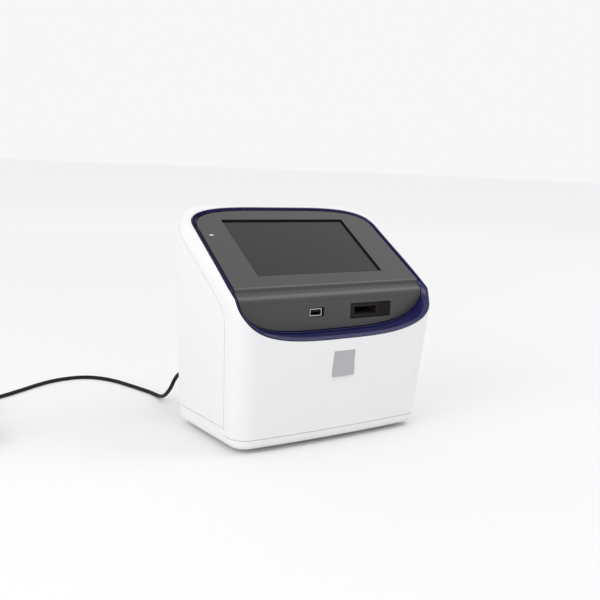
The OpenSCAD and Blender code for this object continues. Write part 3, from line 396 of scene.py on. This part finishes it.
def hull_object(name, points):
    bm = bmesh.new()
    for p in points:
        bm.verts.new(p)
    found = bmesh.ops.convex_hull(bm, input=bm.verts)
    spare = {v for v in found["geom_interior"] + found["geom_unused"]
             if isinstance(v, bmesh.types.BMVert)}
    bmesh.ops.delete(bm, geom=list(spare), context="VERTS")
    bmesh.ops.recalc_face_normals(bm, faces=bm.faces)
    mesh = bpy.data.meshes.new(name)
    bm.to_mesh(mesh)
    bm.free()
    return new_object(name, mesh)


def tube_faces(spans, rows, size):
    """Faces between rows of size points, over so many spans; as many spans as rows make a closed tube."""
    return [(i * size + k, i * size + (k + 1) % size, (i + 1) % rows * size + (k + 1) % size,
             (i + 1) % rows * size + k) for i in range(spans) for k in range(size)]


def prism(outline, low, high, place):
    """A closed outline carried from low to high; place(a, b, c) turns its coordinates into a point."""
    count = len(outline)
    points = [place(a, b, c) for c in (low, high) for a, b in outline]
    walls = [(i, (i + 1) % count, count + (i + 1) % count, count + i) for i in range(count)]
    return mesh_object("prism", points, [tuple(range(count)), tuple(range(count, 2 * count)), *walls])


def side_prism(outline, low=-FAR, high=FAR):
    return prism(outline, low, high, lambda y, z, x: (x, y, z))


def front_prism(outline, low, high):
    return prism(outline, low, high, lambda x, z, y: (x, y, z))


def plan_prism(outline, low, high):
    return prism(outline, low, high, lambda x, y, z: (x, y, z))


def on_slope(x, t, n):
    """Point x across, t up the display face from the crease and n above it."""
    return (x, CREASE_Y + t * math.cos(SLOPE) - n * math.sin(SLOPE),
            CREASE_Z + t * math.sin(SLOPE) + n * math.cos(SLOPE))


def slope_prism(outline, low, high):
    return prism(outline, low, high, on_slope)


def combine(obj, *steps):
    """Applies boolean steps, each (operation, cutter object), and removes the cutters."""
    for operation, cutter in steps:
        step = obj.modifiers.new("step", "BOOLEAN")
        step.operation = operation
        step.object = cutter
        step.solver = "MANIFOLD"
    bake(obj)
    for _, cutter in steps:
        bpy.data.objects.remove(cutter)
    return obj


def bake(obj):
    bpy.context.view_layer.update()
    mesh = bpy.data.meshes.new_from_object(obj.evaluated_get(bpy.context.evaluated_depsgraph_get()))
    obj.modifiers.clear()
    obj.data = mesh


def smooth(obj, angle):
    """Smooth faces up to an edge angle in degrees, with the broad faces setting the normals."""
    for face in obj.data.polygons:
        face.use_smooth = True
    obj.data.set_sharp_from_angle(angle=math.radians(angle))
    even = obj.modifiers.new("even", "WEIGHTED_NORMAL")
    even.keep_sharp = True
    bake(obj)


def dress(obj, name, slot, nodes=(), angle=SMOOTH_ANGLE):
    """Brings a piece to metres and gives it its normals, finish and body, and hides the nodes it stands
    for.
    """
    obj.name = name
    obj.data.transform(Matrix.Scale(MM, 4))
    smooth(obj, angle)
    obj.data.materials.clear()
    obj.data.materials.append(finish_of(slot))
    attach(obj, "casing")
    if nodes:
        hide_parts(*nodes)


def copy_of(obj):
    return new_object(obj.name, obj.data.copy())


# ---- outlines ----
def clamp01(value):
    return min(1.0, max(0.0, value))


def arc(cx, cy, rx, ry, start, end, steps):
    angles = [math.radians(start + (end - start) * i / steps) for i in range(steps + 1)]
    return [(cx + rx * math.cos(a), cy + ry * math.sin(a)) for a in angles]


def circle(x, y, r, steps):
    return arc(x, y, r, r, 0, 360, steps)[:-1]


def rectangle(x, y, w, h):
    return [(x + sx * w / 2, y + sy * h / 2) for sx, sy in ((-1, -1), (1, -1), (1, 1), (-1, 1))]


def rounded_rectangle(x, y, w, h, r, steps=6):
    corners = [(1, 1, 0), (-1, 1, 90), (-1, -1, 180), (1, -1, 270)]
    return [p for sx, sy, a in corners
            for p in arc(x + sx * (w / 2 - r), y + sy * (h / 2 - r), r, r, a, a + 90, steps)]


def round_slot(x, y, w, h):
    return rounded_rectangle(x, y, w, h, w / 2 - SLOT_FLAT)


def line(a, b, steps):
    """Points from a up to but without b."""
    return [tuple(a[k] + (b[k] - a[k]) * i / steps for k in range(2)) for i in range(steps)]


def both_sides(half):
    """A closed outline from its right half, whose ends may lie on the middle line."""
    return half + [(-x, y) for x, y in reversed(half) if x > TINY]


def casing_outline(z, inset, steps):
    """Level outline of the casing at height z: crowned front, round corners."""
    w, front, rear = half_width(z) - inset, front_y(z) + inset, REAR_Y - inset
    rf, rr = CORNER_R - inset, REAR_R - inset
    crowned = [((w - rf) * i / steps, front + CROWN * (i / steps) ** 2) for i in range(steps)]
    return both_sides(crowned + arc(w - rf, front + CROWN + rf, rf, rf, 270, 360, steps)
                      + arc(w - rr, rear - rr, rr, rr, 0, 90, steps))


def top_outline(angle, inset, steps):
    """Outline of the display face at an angle down its rounded edge, in x and t."""
    out = EDGE_R * (1 - math.sin(angle))
    drop = EDGE_R * (1 - math.cos(angle)) + inset
    end = (REAR_Y - inset - CREASE_Y - drop * math.sin(SLOPE)) / math.cos(SLOPE) - out * EDGE_REAR_SHARE
    r = TOP_R - out - inset
    low = half_width(EDGE_START_Z) - out - inset
    high = half_width(CREASE_Z + end * math.sin(SLOPE)) - out - inset
    return both_sides([(low, -EDGE_RUN)] + arc(high - r, end - r, r, r, 0, 90, 2 * steps))


def brow_end_points(side, inset, steps):
    """Points all over the round end of the brow, wider across than deep."""
    x, y = side * (half_width(BROW_Z) - BROW_CORNER_R), BROW_Y + CROWN
    z = BROW_Z + CROWN * math.tan(SLOPE)
    wide, r = BROW_CORNER_R - inset, BROW_R - inset
    rows = [math.pi * i / steps for i in range(steps + 1)]
    turns = [math.pi * j / steps for j in range(2 * steps)]
    return [(x + wide * math.sin(a) * math.cos(b), y + r * math.sin(a) * math.sin(b),
             z + r * math.cos(a)) for a in rows for b in turns]


def casing_form(name, inset, steps):
    """The whole casing as one rounded solid, inset on every side."""
    points = []
    base_round, base_steps = BASE_ROUND - inset, steps // 3
    for i in range(base_steps + 1):
        a = math.pi / 2 * i / base_steps
        back = base_round * (1 - math.sin(a))
        z = BASE_Z + inset + base_round * (1 - math.cos(a))
        points += [(x, y, z) for x, y in casing_outline(z, inset + back, steps)]
    for side in (-1, 1):
        points += brow_end_points(side, inset, 2 * steps)
        points += [(side * BROW_FLAT, y, z)
                   for y, z in arc(BROW_Y, BROW_Z, BROW_R - inset, BROW_R - inset, 0, 360, 6 * steps)]
        points += [(side * (half_width(SHOULDER_Z) - inset), slope_y_at(SHOULDER_Z) + EDGE_R,
                    SHOULDER_Z - inset)]
    points += [(x, y, SHOULDER_Z - inset) for x, y in casing_outline(SHOULDER_Z, inset, steps)
               if y > slope_y_at(SHOULDER_Z) + EDGE_R]
    for i in range(steps + 1):
        a = math.pi / 2 * i / steps
        drop = -inset - EDGE_R * (1 - math.cos(a))
        points += [on_slope(x, t, drop) for x, t in top_outline(a, inset, steps)]
    return hull_object(name, points)


def groove_path(back):
    """Side view of the parting line behind the front shell, back behind its edge."""
    y = front_y(GROOVE_Z) + GROOVE_BACK + GROOVE_R / math.cos(FRONT_LEAN)
    r = GROOVE_R - back
    bend = arc(y, GROOVE_Z, r, r, 180 + math.degrees(FRONT_LEAN), 90 + math.degrees(GROOVE_SLOPE),
               GROOVE_STEPS)
    low = (bend[0][0] + FAR * math.sin(FRONT_LEAN), bend[0][1] - FAR * math.cos(FRONT_LEAN))
    high = (bend[-1][0] + FAR * math.cos(GROOVE_SLOPE), bend[-1][1] + FAR * math.sin(GROOVE_SLOPE))
    return [low] + bend + [high]


def groove_y_at(z):
    return front_y(z) + GROOVE_BACK


def base_region(lift):
    """Side view of all that lies below the base pan's parting line, raised by lift."""
    return [(-FAR, -FAR), (-FAR, FRONT_SEAM_Z + lift), (groove_y_at(FRONT_SEAM_Z), FRONT_SEAM_Z + lift),
            (groove_y_at(SIDE_SEAM_Z), SIDE_SEAM_Z + lift), (FAR, SIDE_SEAM_Z + lift), (FAR, -FAR)]


def rear_outline(gap):
    """Front view of the rear cover between its side seams, less a gap at each."""
    low, high = half_width(0) - REAR_STRIP - gap, half_width(FAR) - REAR_STRIP - gap
    return [(-low, 0), (low, 0), (high, FAR), (-high, FAR)]


def full_corner(rx, ry, angle):
    """A point on a quarter corner fuller than an ellipse, angle in degrees."""
    a = math.radians(angle)
    power = 2 / RIM_POWER
    return rx * max(0.0, math.cos(a)) ** power, ry * math.sin(a) ** power


def opening_half(side, low):
    """Right half of the opening's front view, from the bottom's middle round to the rear's."""
    wide, rear = RIM_HALF - RIM_FLAT - side, RIM_HALF - RIM_TAPER - RIM_TOP_FLAT - side
    steps = RIM_CORNER_STEPS
    low_angles = [90 * (i / steps) ** 2 for i in range(steps - 1, -1, -1)]
    top_angles = [45 - 45 * math.cos(math.pi * i / steps) for i in range(steps + 1)]
    lower = [full_corner(wide, RIM_CORNER_H - low, a) for a in low_angles]
    upper = [full_corner(rear, (RIM_TOP_LEN - side) * math.sin(SLOPE), a) for a in top_angles]
    lower = [(RIM_FLAT + x, RIM_CORNER_Z - z) for x, z in lower]
    upper = [(RIM_TOP_FLAT + x, RIM_TOP_Z + z) for x, z in upper]
    start = (BROW_FLAT, RIM_BOTTOM_Z + low)
    end = (0, upper[-1][1])
    return (line((0, start[1]), start, RIM_FLAT_STEPS) + [start] + lower[:-1]
            + line(lower[-1], upper[0], RIM_SIDE_STEPS) + upper[:-1]
            + line(upper[-1], end, RIM_FLAT_STEPS) + [end])


def opening(side, low):
    """Front view of the opening, inset at the sides and rear and raised at the bottom."""
    return both_sides(opening_half(side, low))


def opening_plan(side):
    """Top view of the opening, from ahead of the crease back."""
    back = [(x, slope_y_at(z)) for x, z in opening_half(side, side) if z > CREASE_Z]
    return both_sides([(RIM_HALF - side, BROW_Y)] + back)


def opening_block(side, low):
    """What the opening takes out: along Y in the port face, straight down in the display face."""
    front = front_prism(opening(side, low), -FAR, FAR)
    under = plan_prism(rectangle(0, 0, 2 * FAR, 3 * FAR), -FAR, CREASE_Z)
    block = combine(front, ("INTERSECT", under))
    return combine(block, ("UNION", plan_prism(opening_plan(side), CREASE_Z - PAST, FAR)))


# ---- white mouldings ----
def make_mouldings(outer):
    inner = casing_form("casing_inside", WALL, INSIDE_STEPS)
    skin = combine(copy_of(outer), ("DIFFERENCE", inner))
    make_front_shell(copy_of(skin))
    make_side_panel(copy_of(skin), "left", -FAR, 0)
    make_side_panel(copy_of(skin), "right", 0, FAR)
    make_rear_cover(copy_of(skin))
    make_base_pan(skin)


def make_front_shell(skin):
    ahead = groove_path(0) + [(-FAR, FAR), (-FAR, -FAR)]
    hole_side = PLATE_W + 2 * PLATE_GAP
    plate_hole = front_prism(rectangle(0, PLATE_Z, hole_side, hole_side), -FAR,
                             front_y(PLATE_Z) + PLATE_SINK)
    combine(skin, ("INTERSECT", side_prism(ahead)), ("DIFFERENCE", side_prism(base_region(SEAM))),
            ("DIFFERENCE", opening_block(-RING_GAP, -RING_GAP)), ("DIFFERENCE", plate_hole))
    dress(skin, "front_shell_moulding", "casing_white", ["front_shell"])


def behind_groove():
    """Side view of all that lies behind the front shell's parting line."""
    return groove_path(SEAM) + [(FAR, -FAR)]


def make_side_panel(skin, name, low, high):
    combine(skin, ("INTERSECT", side_prism(behind_groove(), low, high)),
            ("DIFFERENCE", side_prism(base_region(SEAM))),
            ("DIFFERENCE", front_prism(rear_outline(0), 0, FAR)))
    dress(skin, f"{name}_side_moulding", "casing_white", [f"{name}_side_panel"])


def make_rear_cover(skin):
    xs = (VENT_X + (i - (VENT_N - 1) / 2) * VENT_PITCH for i in range(VENT_N))
    holes = [round_slot(x, VENT_Z + VENT_H / 2, VENT_W, VENT_H) for x in xs]
    holes.append(rectangle(*SWITCH_AT, *(size + 2 * FIT for size in SWITCH_SIZE)))
    holes.append(circle(*JACK_AT, JACK_R + FIT, JACK_STEPS))
    combine(skin, ("INTERSECT", side_prism(behind_groove())),
            ("INTERSECT", front_prism(rear_outline(SEAM), 0, FAR)),
            ("DIFFERENCE", side_prism(base_region(SEAM))),
            *(("DIFFERENCE", front_prism(hole, REAR_Y - 2 * WALL, FAR)) for hole in holes))
    dress(skin, "rear_cover_moulding", "casing_white", ["rear_cover"])


def make_base_pan(skin):
    xs = (BASE_SLOT_X + (2 * i + 0.5) * BASE_SLOT_W for i in range(BASE_SLOT_N))
    holes = [round_slot(x, 0, BASE_SLOT_W, BASE_SLOT_LEN) for x in xs]
    holes += [circle(side * FOOT_X, y, FOOT_HOLE_R, FOOT_STEPS) for side in (-1, 1) for y in FOOT_YS]
    combine(skin, ("INTERSECT", side_prism(base_region(0))),
            *(("DIFFERENCE", plan_prism(hole, BASE_Z - WALL, BASE_Z + 2 * WALL)) for hole in holes))
    dress(skin, "base_pan_moulding", "casing_white", ["base_pan"])


# ---- trim ring ----
def ring_row(skin_at, rims, index):
    """One section of the ring, at a given point round the opening."""
    height = rims[RING_EDGE][index][1]
    turn = math.pi / 2 * clamp01((height - RIM_CORNER_Z) / RING_TURN)
    lean = (math.pi / 2 - SLOPE) * clamp01((height - BROW_Z) / (EDGE_START_Z - BROW_Z))
    back, deep = (Vector((0, math.cos(a), -math.sin(a))) for a in (turn, lean))
    row = [skin_at(*rims[side, low][index]) + deep * depth for side, low, depth in RING_OUTER]
    inner = []
    for side, low, depth in RING_INNER:
        x, z = rims[side, low][index]
        inner.append(Vector((x, bezel_y(z), z)) + deep * depth)
    last = row[-1]
    row += [last.lerp(inner[0], share) for share in RING_FLOOR] + inner
    row.append(inner[-1] + back * RING_DEEP / 2)
    row.append(skin_at(*rims[RING_EDGE][index]) + back * RING_DEEP)
    return row


def make_ring(outer):
    tree = BVHTree.FromPolygons([v.co for v in outer.data.vertices],
                                [f.vertices[:] for f in outer.data.polygons])

    def skin_at(x, z):
        return tree.ray_cast(Vector((x, -FAR, z)), Vector((0, 1, 0)))[0]

    rims = {(side, low): opening(side, low) for side, low, _ in RING_OUTER + RING_INNER}
    count = len(rims[RING_EDGE])
    rows = [ring_row(skin_at, rims, i) for i in range(count)]
    faces = tube_faces(count, count, len(rows[0]))
    ring = mesh_object("ring", [p for row in rows for p in row], faces)
    dress(ring, "trim_ring_gloss", "trim_blue", ["trim_ring"], angle=RING_SMOOTH_ANGLE)


# ---- bezel ----
def slope_yz(t, n):
    return on_slope(0, t, n)[1:]


CREASE_PT = slope_yz(0, -BEZEL_SINK)
STEP_PT = (CREASE_PT[0] - STEP_H / math.tan(STEP_SLOPE), CREASE_PT[1] - STEP_H)
CHIN_Y = CREASE_Y - LEDGE
CHIN_Z = STEP_PT[1] - LEDGE_DROP
LEDGE_SLOPE = math.atan2(LEDGE_DROP, STEP_PT[0] - CHIN_Y)


def sheet_corner(p, a, b):
    """The inner corner of the bezel's sheet under p, where its slope turns from a to b."""
    reach = BEZEL_T / math.cos((a - b) / 2)
    return p[0] + reach * math.sin((a + b) / 2), p[1] - reach * math.cos((a + b) / 2)


def bezel_y(z):
    """Depth of the bezel's face at height z."""
    points = bezel_face()
    for (y0, z0), (y1, z1) in zip(points, points[1:]):
        if z1 <= z <= z0:
            return y0 + (y1 - y0) * (z - z0) / (z1 - z0)
    return CHIN_Y


def rounded(path, steps=10):
    """A path with its corners rounded: each entry is a point and a radius."""
    points = []
    for i, (p, r) in enumerate(path):
        corner = Vector(p)
        if r == 0:
            points.append(tuple(corner))
            continue
        u = (Vector(path[i - 1][0]) - corner).normalized()
        v = (Vector(path[i + 1][0]) - corner).normalized()
        half = u.angle(v) / 2
        centre = corner + (u + v).normalized() * r / math.sin(half)
        first, last = (corner + w * r / math.tan(half) - centre for w in (u, v))
        a0, a1 = math.atan2(first.y, first.x), math.atan2(last.y, last.x)
        turn = (a1 - a0 + math.pi) % (2 * math.pi) - math.pi
        angles = [a0 + turn * k / steps for k in range(steps + 1)]
        points += [(centre.x + r * math.cos(a), centre.y + r * math.sin(a)) for a in angles]
    return points


@functools.cache
def bezel_face():
    """Side view of the bezel's face from its rear edge down to its lower edge."""
    return rounded([(slope_yz(BODY_DEPTH, -BEZEL_SINK), 0), (CREASE_PT, STEP_ROUND),
                    (STEP_PT, FOOT_ROUND), ((CHIN_Y, CHIN_Z), LEDGE_R), ((CHIN_Y, CHIN_LOW_Z), 0)])


def bezel_outline():
    """Side view of the bezel's sheet: its face, and its underside from the lower edge back up."""
    upright = math.pi / 2
    under = rounded([
        ((CHIN_Y + BEZEL_T, CHIN_LOW_Z), 0),
        (sheet_corner((CHIN_Y, CHIN_Z), upright, LEDGE_SLOPE), LEDGE_R - BEZEL_T),
        (sheet_corner(STEP_PT, LEDGE_SLOPE, STEP_SLOPE), 0),
        (sheet_corner(CREASE_PT, STEP_SLOPE, SLOPE), 0),
        (slope_yz(BODY_DEPTH, -BEZEL_SINK - BEZEL_T), 0)])
    return bezel_face() + under


def window_outline(inset, r):
    return rounded_rectangle(VIEW_X, VIEW_T + VIEW_H / 2, VIEW_W - 2 * inset, VIEW_H - 2 * inset, r)


def make_bezel():
    bezel = side_prism(bezel_outline())
    light = rounded_rectangle(LIGHT_X, LIGHT_T, LIGHT_W + 2 * FIT, LIGHT_H + 2 * FIT, LIGHT_R)
    port = rounded_rectangle(PORT_X, PORT_Z, PORT_W, PORT_H, HOLE_R)
    usb = rounded_rectangle(USB_HOLE_X, USB_Z, USB_HOLE_W, USB_HOLE_H, HOLE_R)
    combine(bezel, ("INTERSECT", opening_block(RING_W + RING_GAP, RING_LOW_W + RING_GAP)),
            ("DIFFERENCE", slope_prism(window_outline(0, HOLE_R), -SLOPE_CUT, SLOPE_CUT)),
            ("DIFFERENCE", slope_prism(light, -SLOPE_CUT, SLOPE_CUT)),
            ("DIFFERENCE", front_prism(port, -FAR, 0)),
            ("DIFFERENCE", front_prism(usb, -FAR, 0)))
    dress(bezel, "display_bezel_moulding", "bezel_grey", ["display_bezel"])


# Painted shade: a black liner in the window's wall, where the wall is only in shadow.
def make_painted_shade_liner():
    low, high = -BEZEL_SINK - BEZEL_T, -BEZEL_SINK - SHADE_LINER_DROP
    shade_liner = slope_prism(window_outline(0, HOLE_R), low, high)
    hole = slope_prism(window_outline(SHADE_LINER_T, SHADE_LINER_R), low - PAST, high + PAST)
    combine(shade_liner, ("DIFFERENCE", hole))
    dress(shade_liner, "display_window_painted_shade_liner", "gasket_foam")


def make_glass_step():
    """The glass's raised middle, which fills the black liner of painted shade up to GLASS_DROP under the
    bezel's face.
    """
    step = slope_prism(window_outline(SHADE_LINER_T, SHADE_LINER_R), -BEZEL_SINK - BEZEL_T - GLASS_UNDER,
                       -BEZEL_SINK - GLASS_DROP)
    dress(step, "touch_glass_step", "screen_glass")


# ---- ports ----
def port_box(x, z, w, h, near, far):
    """A block across the port face, between two depths behind it."""
    return front_prism(rectangle(x, z, w, h), CHIN_Y + near, CHIN_Y + far)


def make_port_frame():
    flange_w, flange_h = PORT_W + 2 * PORT_FLANGE, PORT_H + 2 * PORT_FLANGE
    back = BEZEL_T + PORT_FLANGE_T
    port = port_box(PORT_X, PORT_Z, PORT_W - 2 * PORT_GAP, PORT_H - 2 * PORT_GAP, PORT_SINK, back)
    steps = [("UNION", port_box(PORT_X, PORT_Z, flange_w, flange_h, BEZEL_T, back))]
    for i in range(RIB_N):
        x = PORT_X + PORT_W / 2 - RIB_IN - RIB_W / 2 - i * RIB_PITCH
        rib = port_box(x, PORT_Z, RIB_W, PORT_H - RIB_SHORT, PORT_SINK - RIB_PROUD, BEZEL_T)
        steps.append(("UNION", rib))
    steps.append(("DIFFERENCE", port_box(MOUTH_X, PORT_Z, MOUTH_W, MOUTH_H, -CUT_AHEAD, MOUTH_DEEP)))
    steps.append(("DIFFERENCE", port_box(SLIDE_X, PORT_Z, SLIDE_W, SLIDE_H, -CUT_AHEAD, CUT_BEHIND)))
    combine(port, *steps)
    dress(port, "slide_port_frame_moulding", "black_plastic", ["slide_port_frame"])


def make_usb():
    """The pressed shell, open ahead, and a black lining inside it that is painted shade for the port's dark
    inside.
    """
    w, h = USB_W - 2 * USB_T, USB_H - 2 * USB_T
    end = USB_SINK + USB_LEN
    shell = port_box(USB_X, USB_Z, USB_W, USB_H, USB_SINK, end)
    combine(shell, ("DIFFERENCE", port_box(USB_X, USB_Z, w, h, -CUT_AHEAD, end - USB_T)))
    dress(shell, "usb_shell_pressing", "panel_metal", ["usb_shell"])
    # Painted shade: a black lining inside the shell, for the shade deep in the port.
    shade_lining = port_box(USB_X, USB_Z, w, h, USB_SINK + USB_RIM, end - USB_T)
    hole = port_box(USB_X, USB_Z, w - USB_T, h - USB_T, -CUT_AHEAD, end - 2 * USB_T)
    combine(shade_lining, ("DIFFERENCE", hole))
    dress(shade_lining, "usb_painted_shade_lining", "gasket_foam")


# ---- slide's return spring ----
def spring_point(share):
    """Centre of the spring's wire, and the way outward from the spring's axis there."""
    angle = 2 * math.pi * SPRING_TURNS * share
    out = Vector((math.cos(angle), 0, math.sin(angle)))
    return Vector((SLIDE_X, SPRING_Y0 + share * (SPRING_Y1 - SPRING_Y0), PORT_Z)) + SPRING_R * out, out


def make_spring():
    """The return spring, at rest: nothing here shortens it as the slide is pushed in."""
    back = Vector((0, 1, 0))
    count = SPRING_TURNS * SPRING_STEPS
    points = []
    for i in range(count + 1):
        centre, out = spring_point(i / count)
        for k in range(SPRING_SIDES):
            a = 2 * math.pi * k / SPRING_SIDES
            points.append(centre + (out * math.cos(a) + back * math.sin(a)) * SPRING_WIRE / 2)
    faces = tube_faces(count, count + 1, SPRING_SIDES)
    faces += [tuple(range(SPRING_SIDES - 1, -1, -1)),
              tuple(range(count * SPRING_SIDES, (count + 1) * SPRING_SIDES))]
    spring = mesh_object("spring", points, faces)
    dress(spring, "slide_return_spring", "screw_steel", ["eject_spring"])
    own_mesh(spring)


# ---- supply lead ----
def coil_point(turns):
    """Point of the coil after so many turns, each turn easing into the next at its end."""
    index = min(int(turns), len(COIL_TURNS) - 1)
    after = min(index + 1, len(COIL_TURNS) - 1)
    ease = max(0.0, (turns - index - 1 + RAMP) / RAMP)
    ease = ease * ease * (3 - 2 * ease)
    row, layer = (COIL_TURNS[index][k] * (1 - ease) + COIL_TURNS[after][k] * ease for k in range(2))
    angle = math.pi / 2 + 2 * math.pi * turns
    r = COIL_R + row * CORD_D
    return (COIL_AT[0] + r * math.cos(angle), COIL_AT[1] + r * math.sin(angle),
            CORD_Z + layer * (CORD_D - COIL_LAP))


def make_lead():
    turns = len(COIL_TURNS) - COIL_OPEN
    steps = round(turns * TURN_POINTS)
    points = LEAD_ROUTE + [coil_point(turns * i / steps) for i in range(steps + 1)] + TAIL_ROUTE
    data = bpy.data.curves.new("supply_lead", "CURVE")
    data.dimensions = "3D"
    data.bevel_depth = CORD_D / 2 * MM
    data.bevel_resolution = 5
    data.resolution_u = 6
    data.use_fill_caps = True
    spline = data.splines.new("BEZIER")
    spline.bezier_points.add(len(points) - 1)
    for knot, point in zip(spline.bezier_points, points):
        knot.co = Vector(point) * MM
        knot.handle_left_type = knot.handle_right_type = "AUTO"
    lead = new_object("supply_lead", data)
    data.materials.append(finish_of("cord_black"))
    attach(lead, "casing")
    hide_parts("dc_cord", "dc_cord_coil")


# ---- finishes ----
def link(tree, source, output, target, socket):
    tree.links.new(source.outputs[output], target.inputs[socket])


def add_noise(tree, place, size, detail):
    """A noise with grains of a given size in millimetres."""
    noise = tree.nodes.new("ShaderNodeTexNoise")
    noise.inputs["Scale"].default_value = 1 / (size * MM)
    noise.inputs["Detail"].default_value = detail
    link(tree, place, "Object", noise, "Vector")
    return noise


def add_range(tree, source, output, low, high, start=0, end=1):
    """A value that runs from low to high while the source's runs from start to end."""
    node = tree.nodes.new("ShaderNodeMapRange")
    node.inputs["From Min"].default_value = start
    node.inputs["From Max"].default_value = end
    node.inputs["To Min"].default_value = low
    node.inputs["To Max"].default_value = high
    link(tree, source, output, node, "Value")
    return node


@functools.cache
def finish_of(slot):
    """The slot's material: mottled colour and roughness, and a fine moulded or blasted grain."""
    colour, roughness, metallic, variation, grain, height = FINISHES[slot]
    material = bpy.data.materials.new(slot)
    material.use_nodes = True
    tree = material.node_tree
    shader = tree.nodes["Principled BSDF"]
    shader.inputs["Metallic"].default_value = metallic
    shader.inputs["Specular IOR Level"].default_value = GLOSS.get(slot, USUAL_GLOSS)
    place = tree.nodes.new("ShaderNodeTexCoord")
    mottle = add_noise(tree, place, MOTTLE_GRAINS * grain, MOTTLE_DETAIL)
    ramp = tree.nodes.new("ShaderNodeValToRGB")
    ramp.color_ramp.elements[0].color = (*(c * (1 - variation) for c in colour), 1)
    ramp.color_ramp.elements[1].color = (*(min(1, c * (1 + variation)) for c in colour), 1)
    link(tree, mottle, "Fac", ramp, "Fac")
    link(tree, ramp, "Color", shader, "Base Color")
    wear = add_range(tree, mottle, "Fac", roughness * (1 - WEAR), roughness * (1 + WEAR))
    link(tree, wear, "Result", shader, "Roughness")
    fine = add_noise(tree, place, grain, GRAIN_DETAIL)
    bump = tree.nodes.new("ShaderNodeBump")
    bump.inputs["Strength"].default_value = BUMP_STRENGTH
    bump.inputs["Distance"].default_value = height * MM
    link(tree, fine, "Fac", bump, "Height")
    link(tree, bump, "Normal", shader, "Normal")
    return material


def dress_cad_nodes():
    for part in frame["record"]["subparts"]:
        obj = frame["nodes"][part["node"]]
        obj.data.materials.clear()
        obj.data.materials.append(finish_of(part["material_slot"]))


# ---- camera and stage ----
def make_camera():
    yaw, pitch, roll = (math.radians(a) for a in (CAMERA_YAW, CAMERA_PITCH, CAMERA_ROLL))
    ahead = Vector((math.sin(yaw) * math.cos(pitch), math.cos(yaw) * math.cos(pitch), -math.sin(pitch)))
    level = Vector((math.cos(yaw), -math.sin(yaw), 0))
    up = level.cross(ahead)
    right = math.cos(roll) * level + math.sin(roll) * up
    top = -math.sin(roll) * level + math.cos(roll) * up
    data = bpy.data.cameras.new("camera")
    data.lens = CAMERA_LENS
    data.sensor_width = CAMERA_SENSOR
    camera = new_object("camera", data)
    turn = Matrix((right, top, -ahead)).transposed().to_4x4()
    camera.matrix_world = Matrix.Translation(Vector(CAMERA_AT) * MM) @ turn
    bpy.context.scene.camera = camera


def make_floor():
    """Pale bench top, with painted light that makes it paler away from the machine."""
    corners = [(x, y, 0) for x, y in rectangle(0, 0, FLOOR_SIZE, FLOOR_SIZE)]
    floor = mesh_object("floor", corners, [(0, 1, 2, 3)])
    material = bpy.data.materials.new("floor")
    material.use_nodes = True
    tree = material.node_tree
    shader = tree.nodes["Principled BSDF"]
    place = tree.nodes.new("ShaderNodeTexCoord")
    reach = tree.nodes.new("ShaderNodeVectorMath")
    reach.operation = "LENGTH"
    link(tree, place, "Object", reach, 0)
    # Painted light: the floor's colour grows paler with distance from the machine.
    painted_light = add_range(tree, reach, "Value", FLOOR_COLOUR, FLOOR_FAR_PAINTED_LIGHT, *FLOOR_PAINTED_LIGHT_FADE)
    link(tree, painted_light, "Result", shader, "Base Color")
    shader.inputs["Roughness"].default_value = FLOOR_ROUGHNESS
    shader.inputs["Specular IOR Level"].default_value = FLOOR_GLOSS
    floor.data.materials.append(material)


def make_sky():
    """Even pale sky, brighter overhead, with the backdrop's own level where the camera sees it."""
    world = bpy.data.worlds.new("studio")
    bpy.context.scene.world = world
    world.use_nodes = True
    tree = world.node_tree
    background = tree.nodes["Background"]
    background.inputs["Color"].default_value = (1, 1, 1, 1)
    place = tree.nodes.new("ShaderNodeTexCoord")
    axes = tree.nodes.new("ShaderNodeSeparateXYZ")
    link(tree, place, "Generated", axes, "Vector")
    rise = add_range(tree, axes, "Z", SKY_LOW * SKY_LEVEL, SKY_HIGH * SKY_LEVEL, SKY_START)
    seen = tree.nodes.new("ShaderNodeLightPath")
    level = tree.nodes.new("ShaderNodeMix")
    link(tree, seen, "Is Camera Ray", level, "Factor")
    link(tree, rise, "Result", level, "A")
    level.inputs["B"].default_value = BACKDROP
    link(tree, level, "Result", background, "Strength")


def add_lamp(name, place, size, power):
    data = bpy.data.lights.new(name, "AREA")
    data.shape = "DISK"
    data.size = size
    data.energy = power
    lamp = new_object(name, data)
    lamp.location = place
    lamp.rotation_euler = (Vector(LAMP_AIM) - Vector(place)).to_track_quat("-Z", "Y").to_euler()


def make_stage():
    make_floor()
    make_sky()
    for name, (place, size, power) in LAMPS.items():
        add_lamp(name, place, size, power)
    bpy.context.scene.view_settings.view_transform = "Standard"


def main():
    make_camera()
    make_lead()
    outer = casing_form("casing_outside", 0, FORM_STEPS)
    make_mouldings(outer)
    make_ring(outer)
    bpy.data.objects.remove(outer)
    make_bezel()
    make_port_frame()
    make_usb()
    make_spring()
    make_glass_step()
    make_painted_shade_liner()
    dress_cad_nodes()
    make_stage()


main()
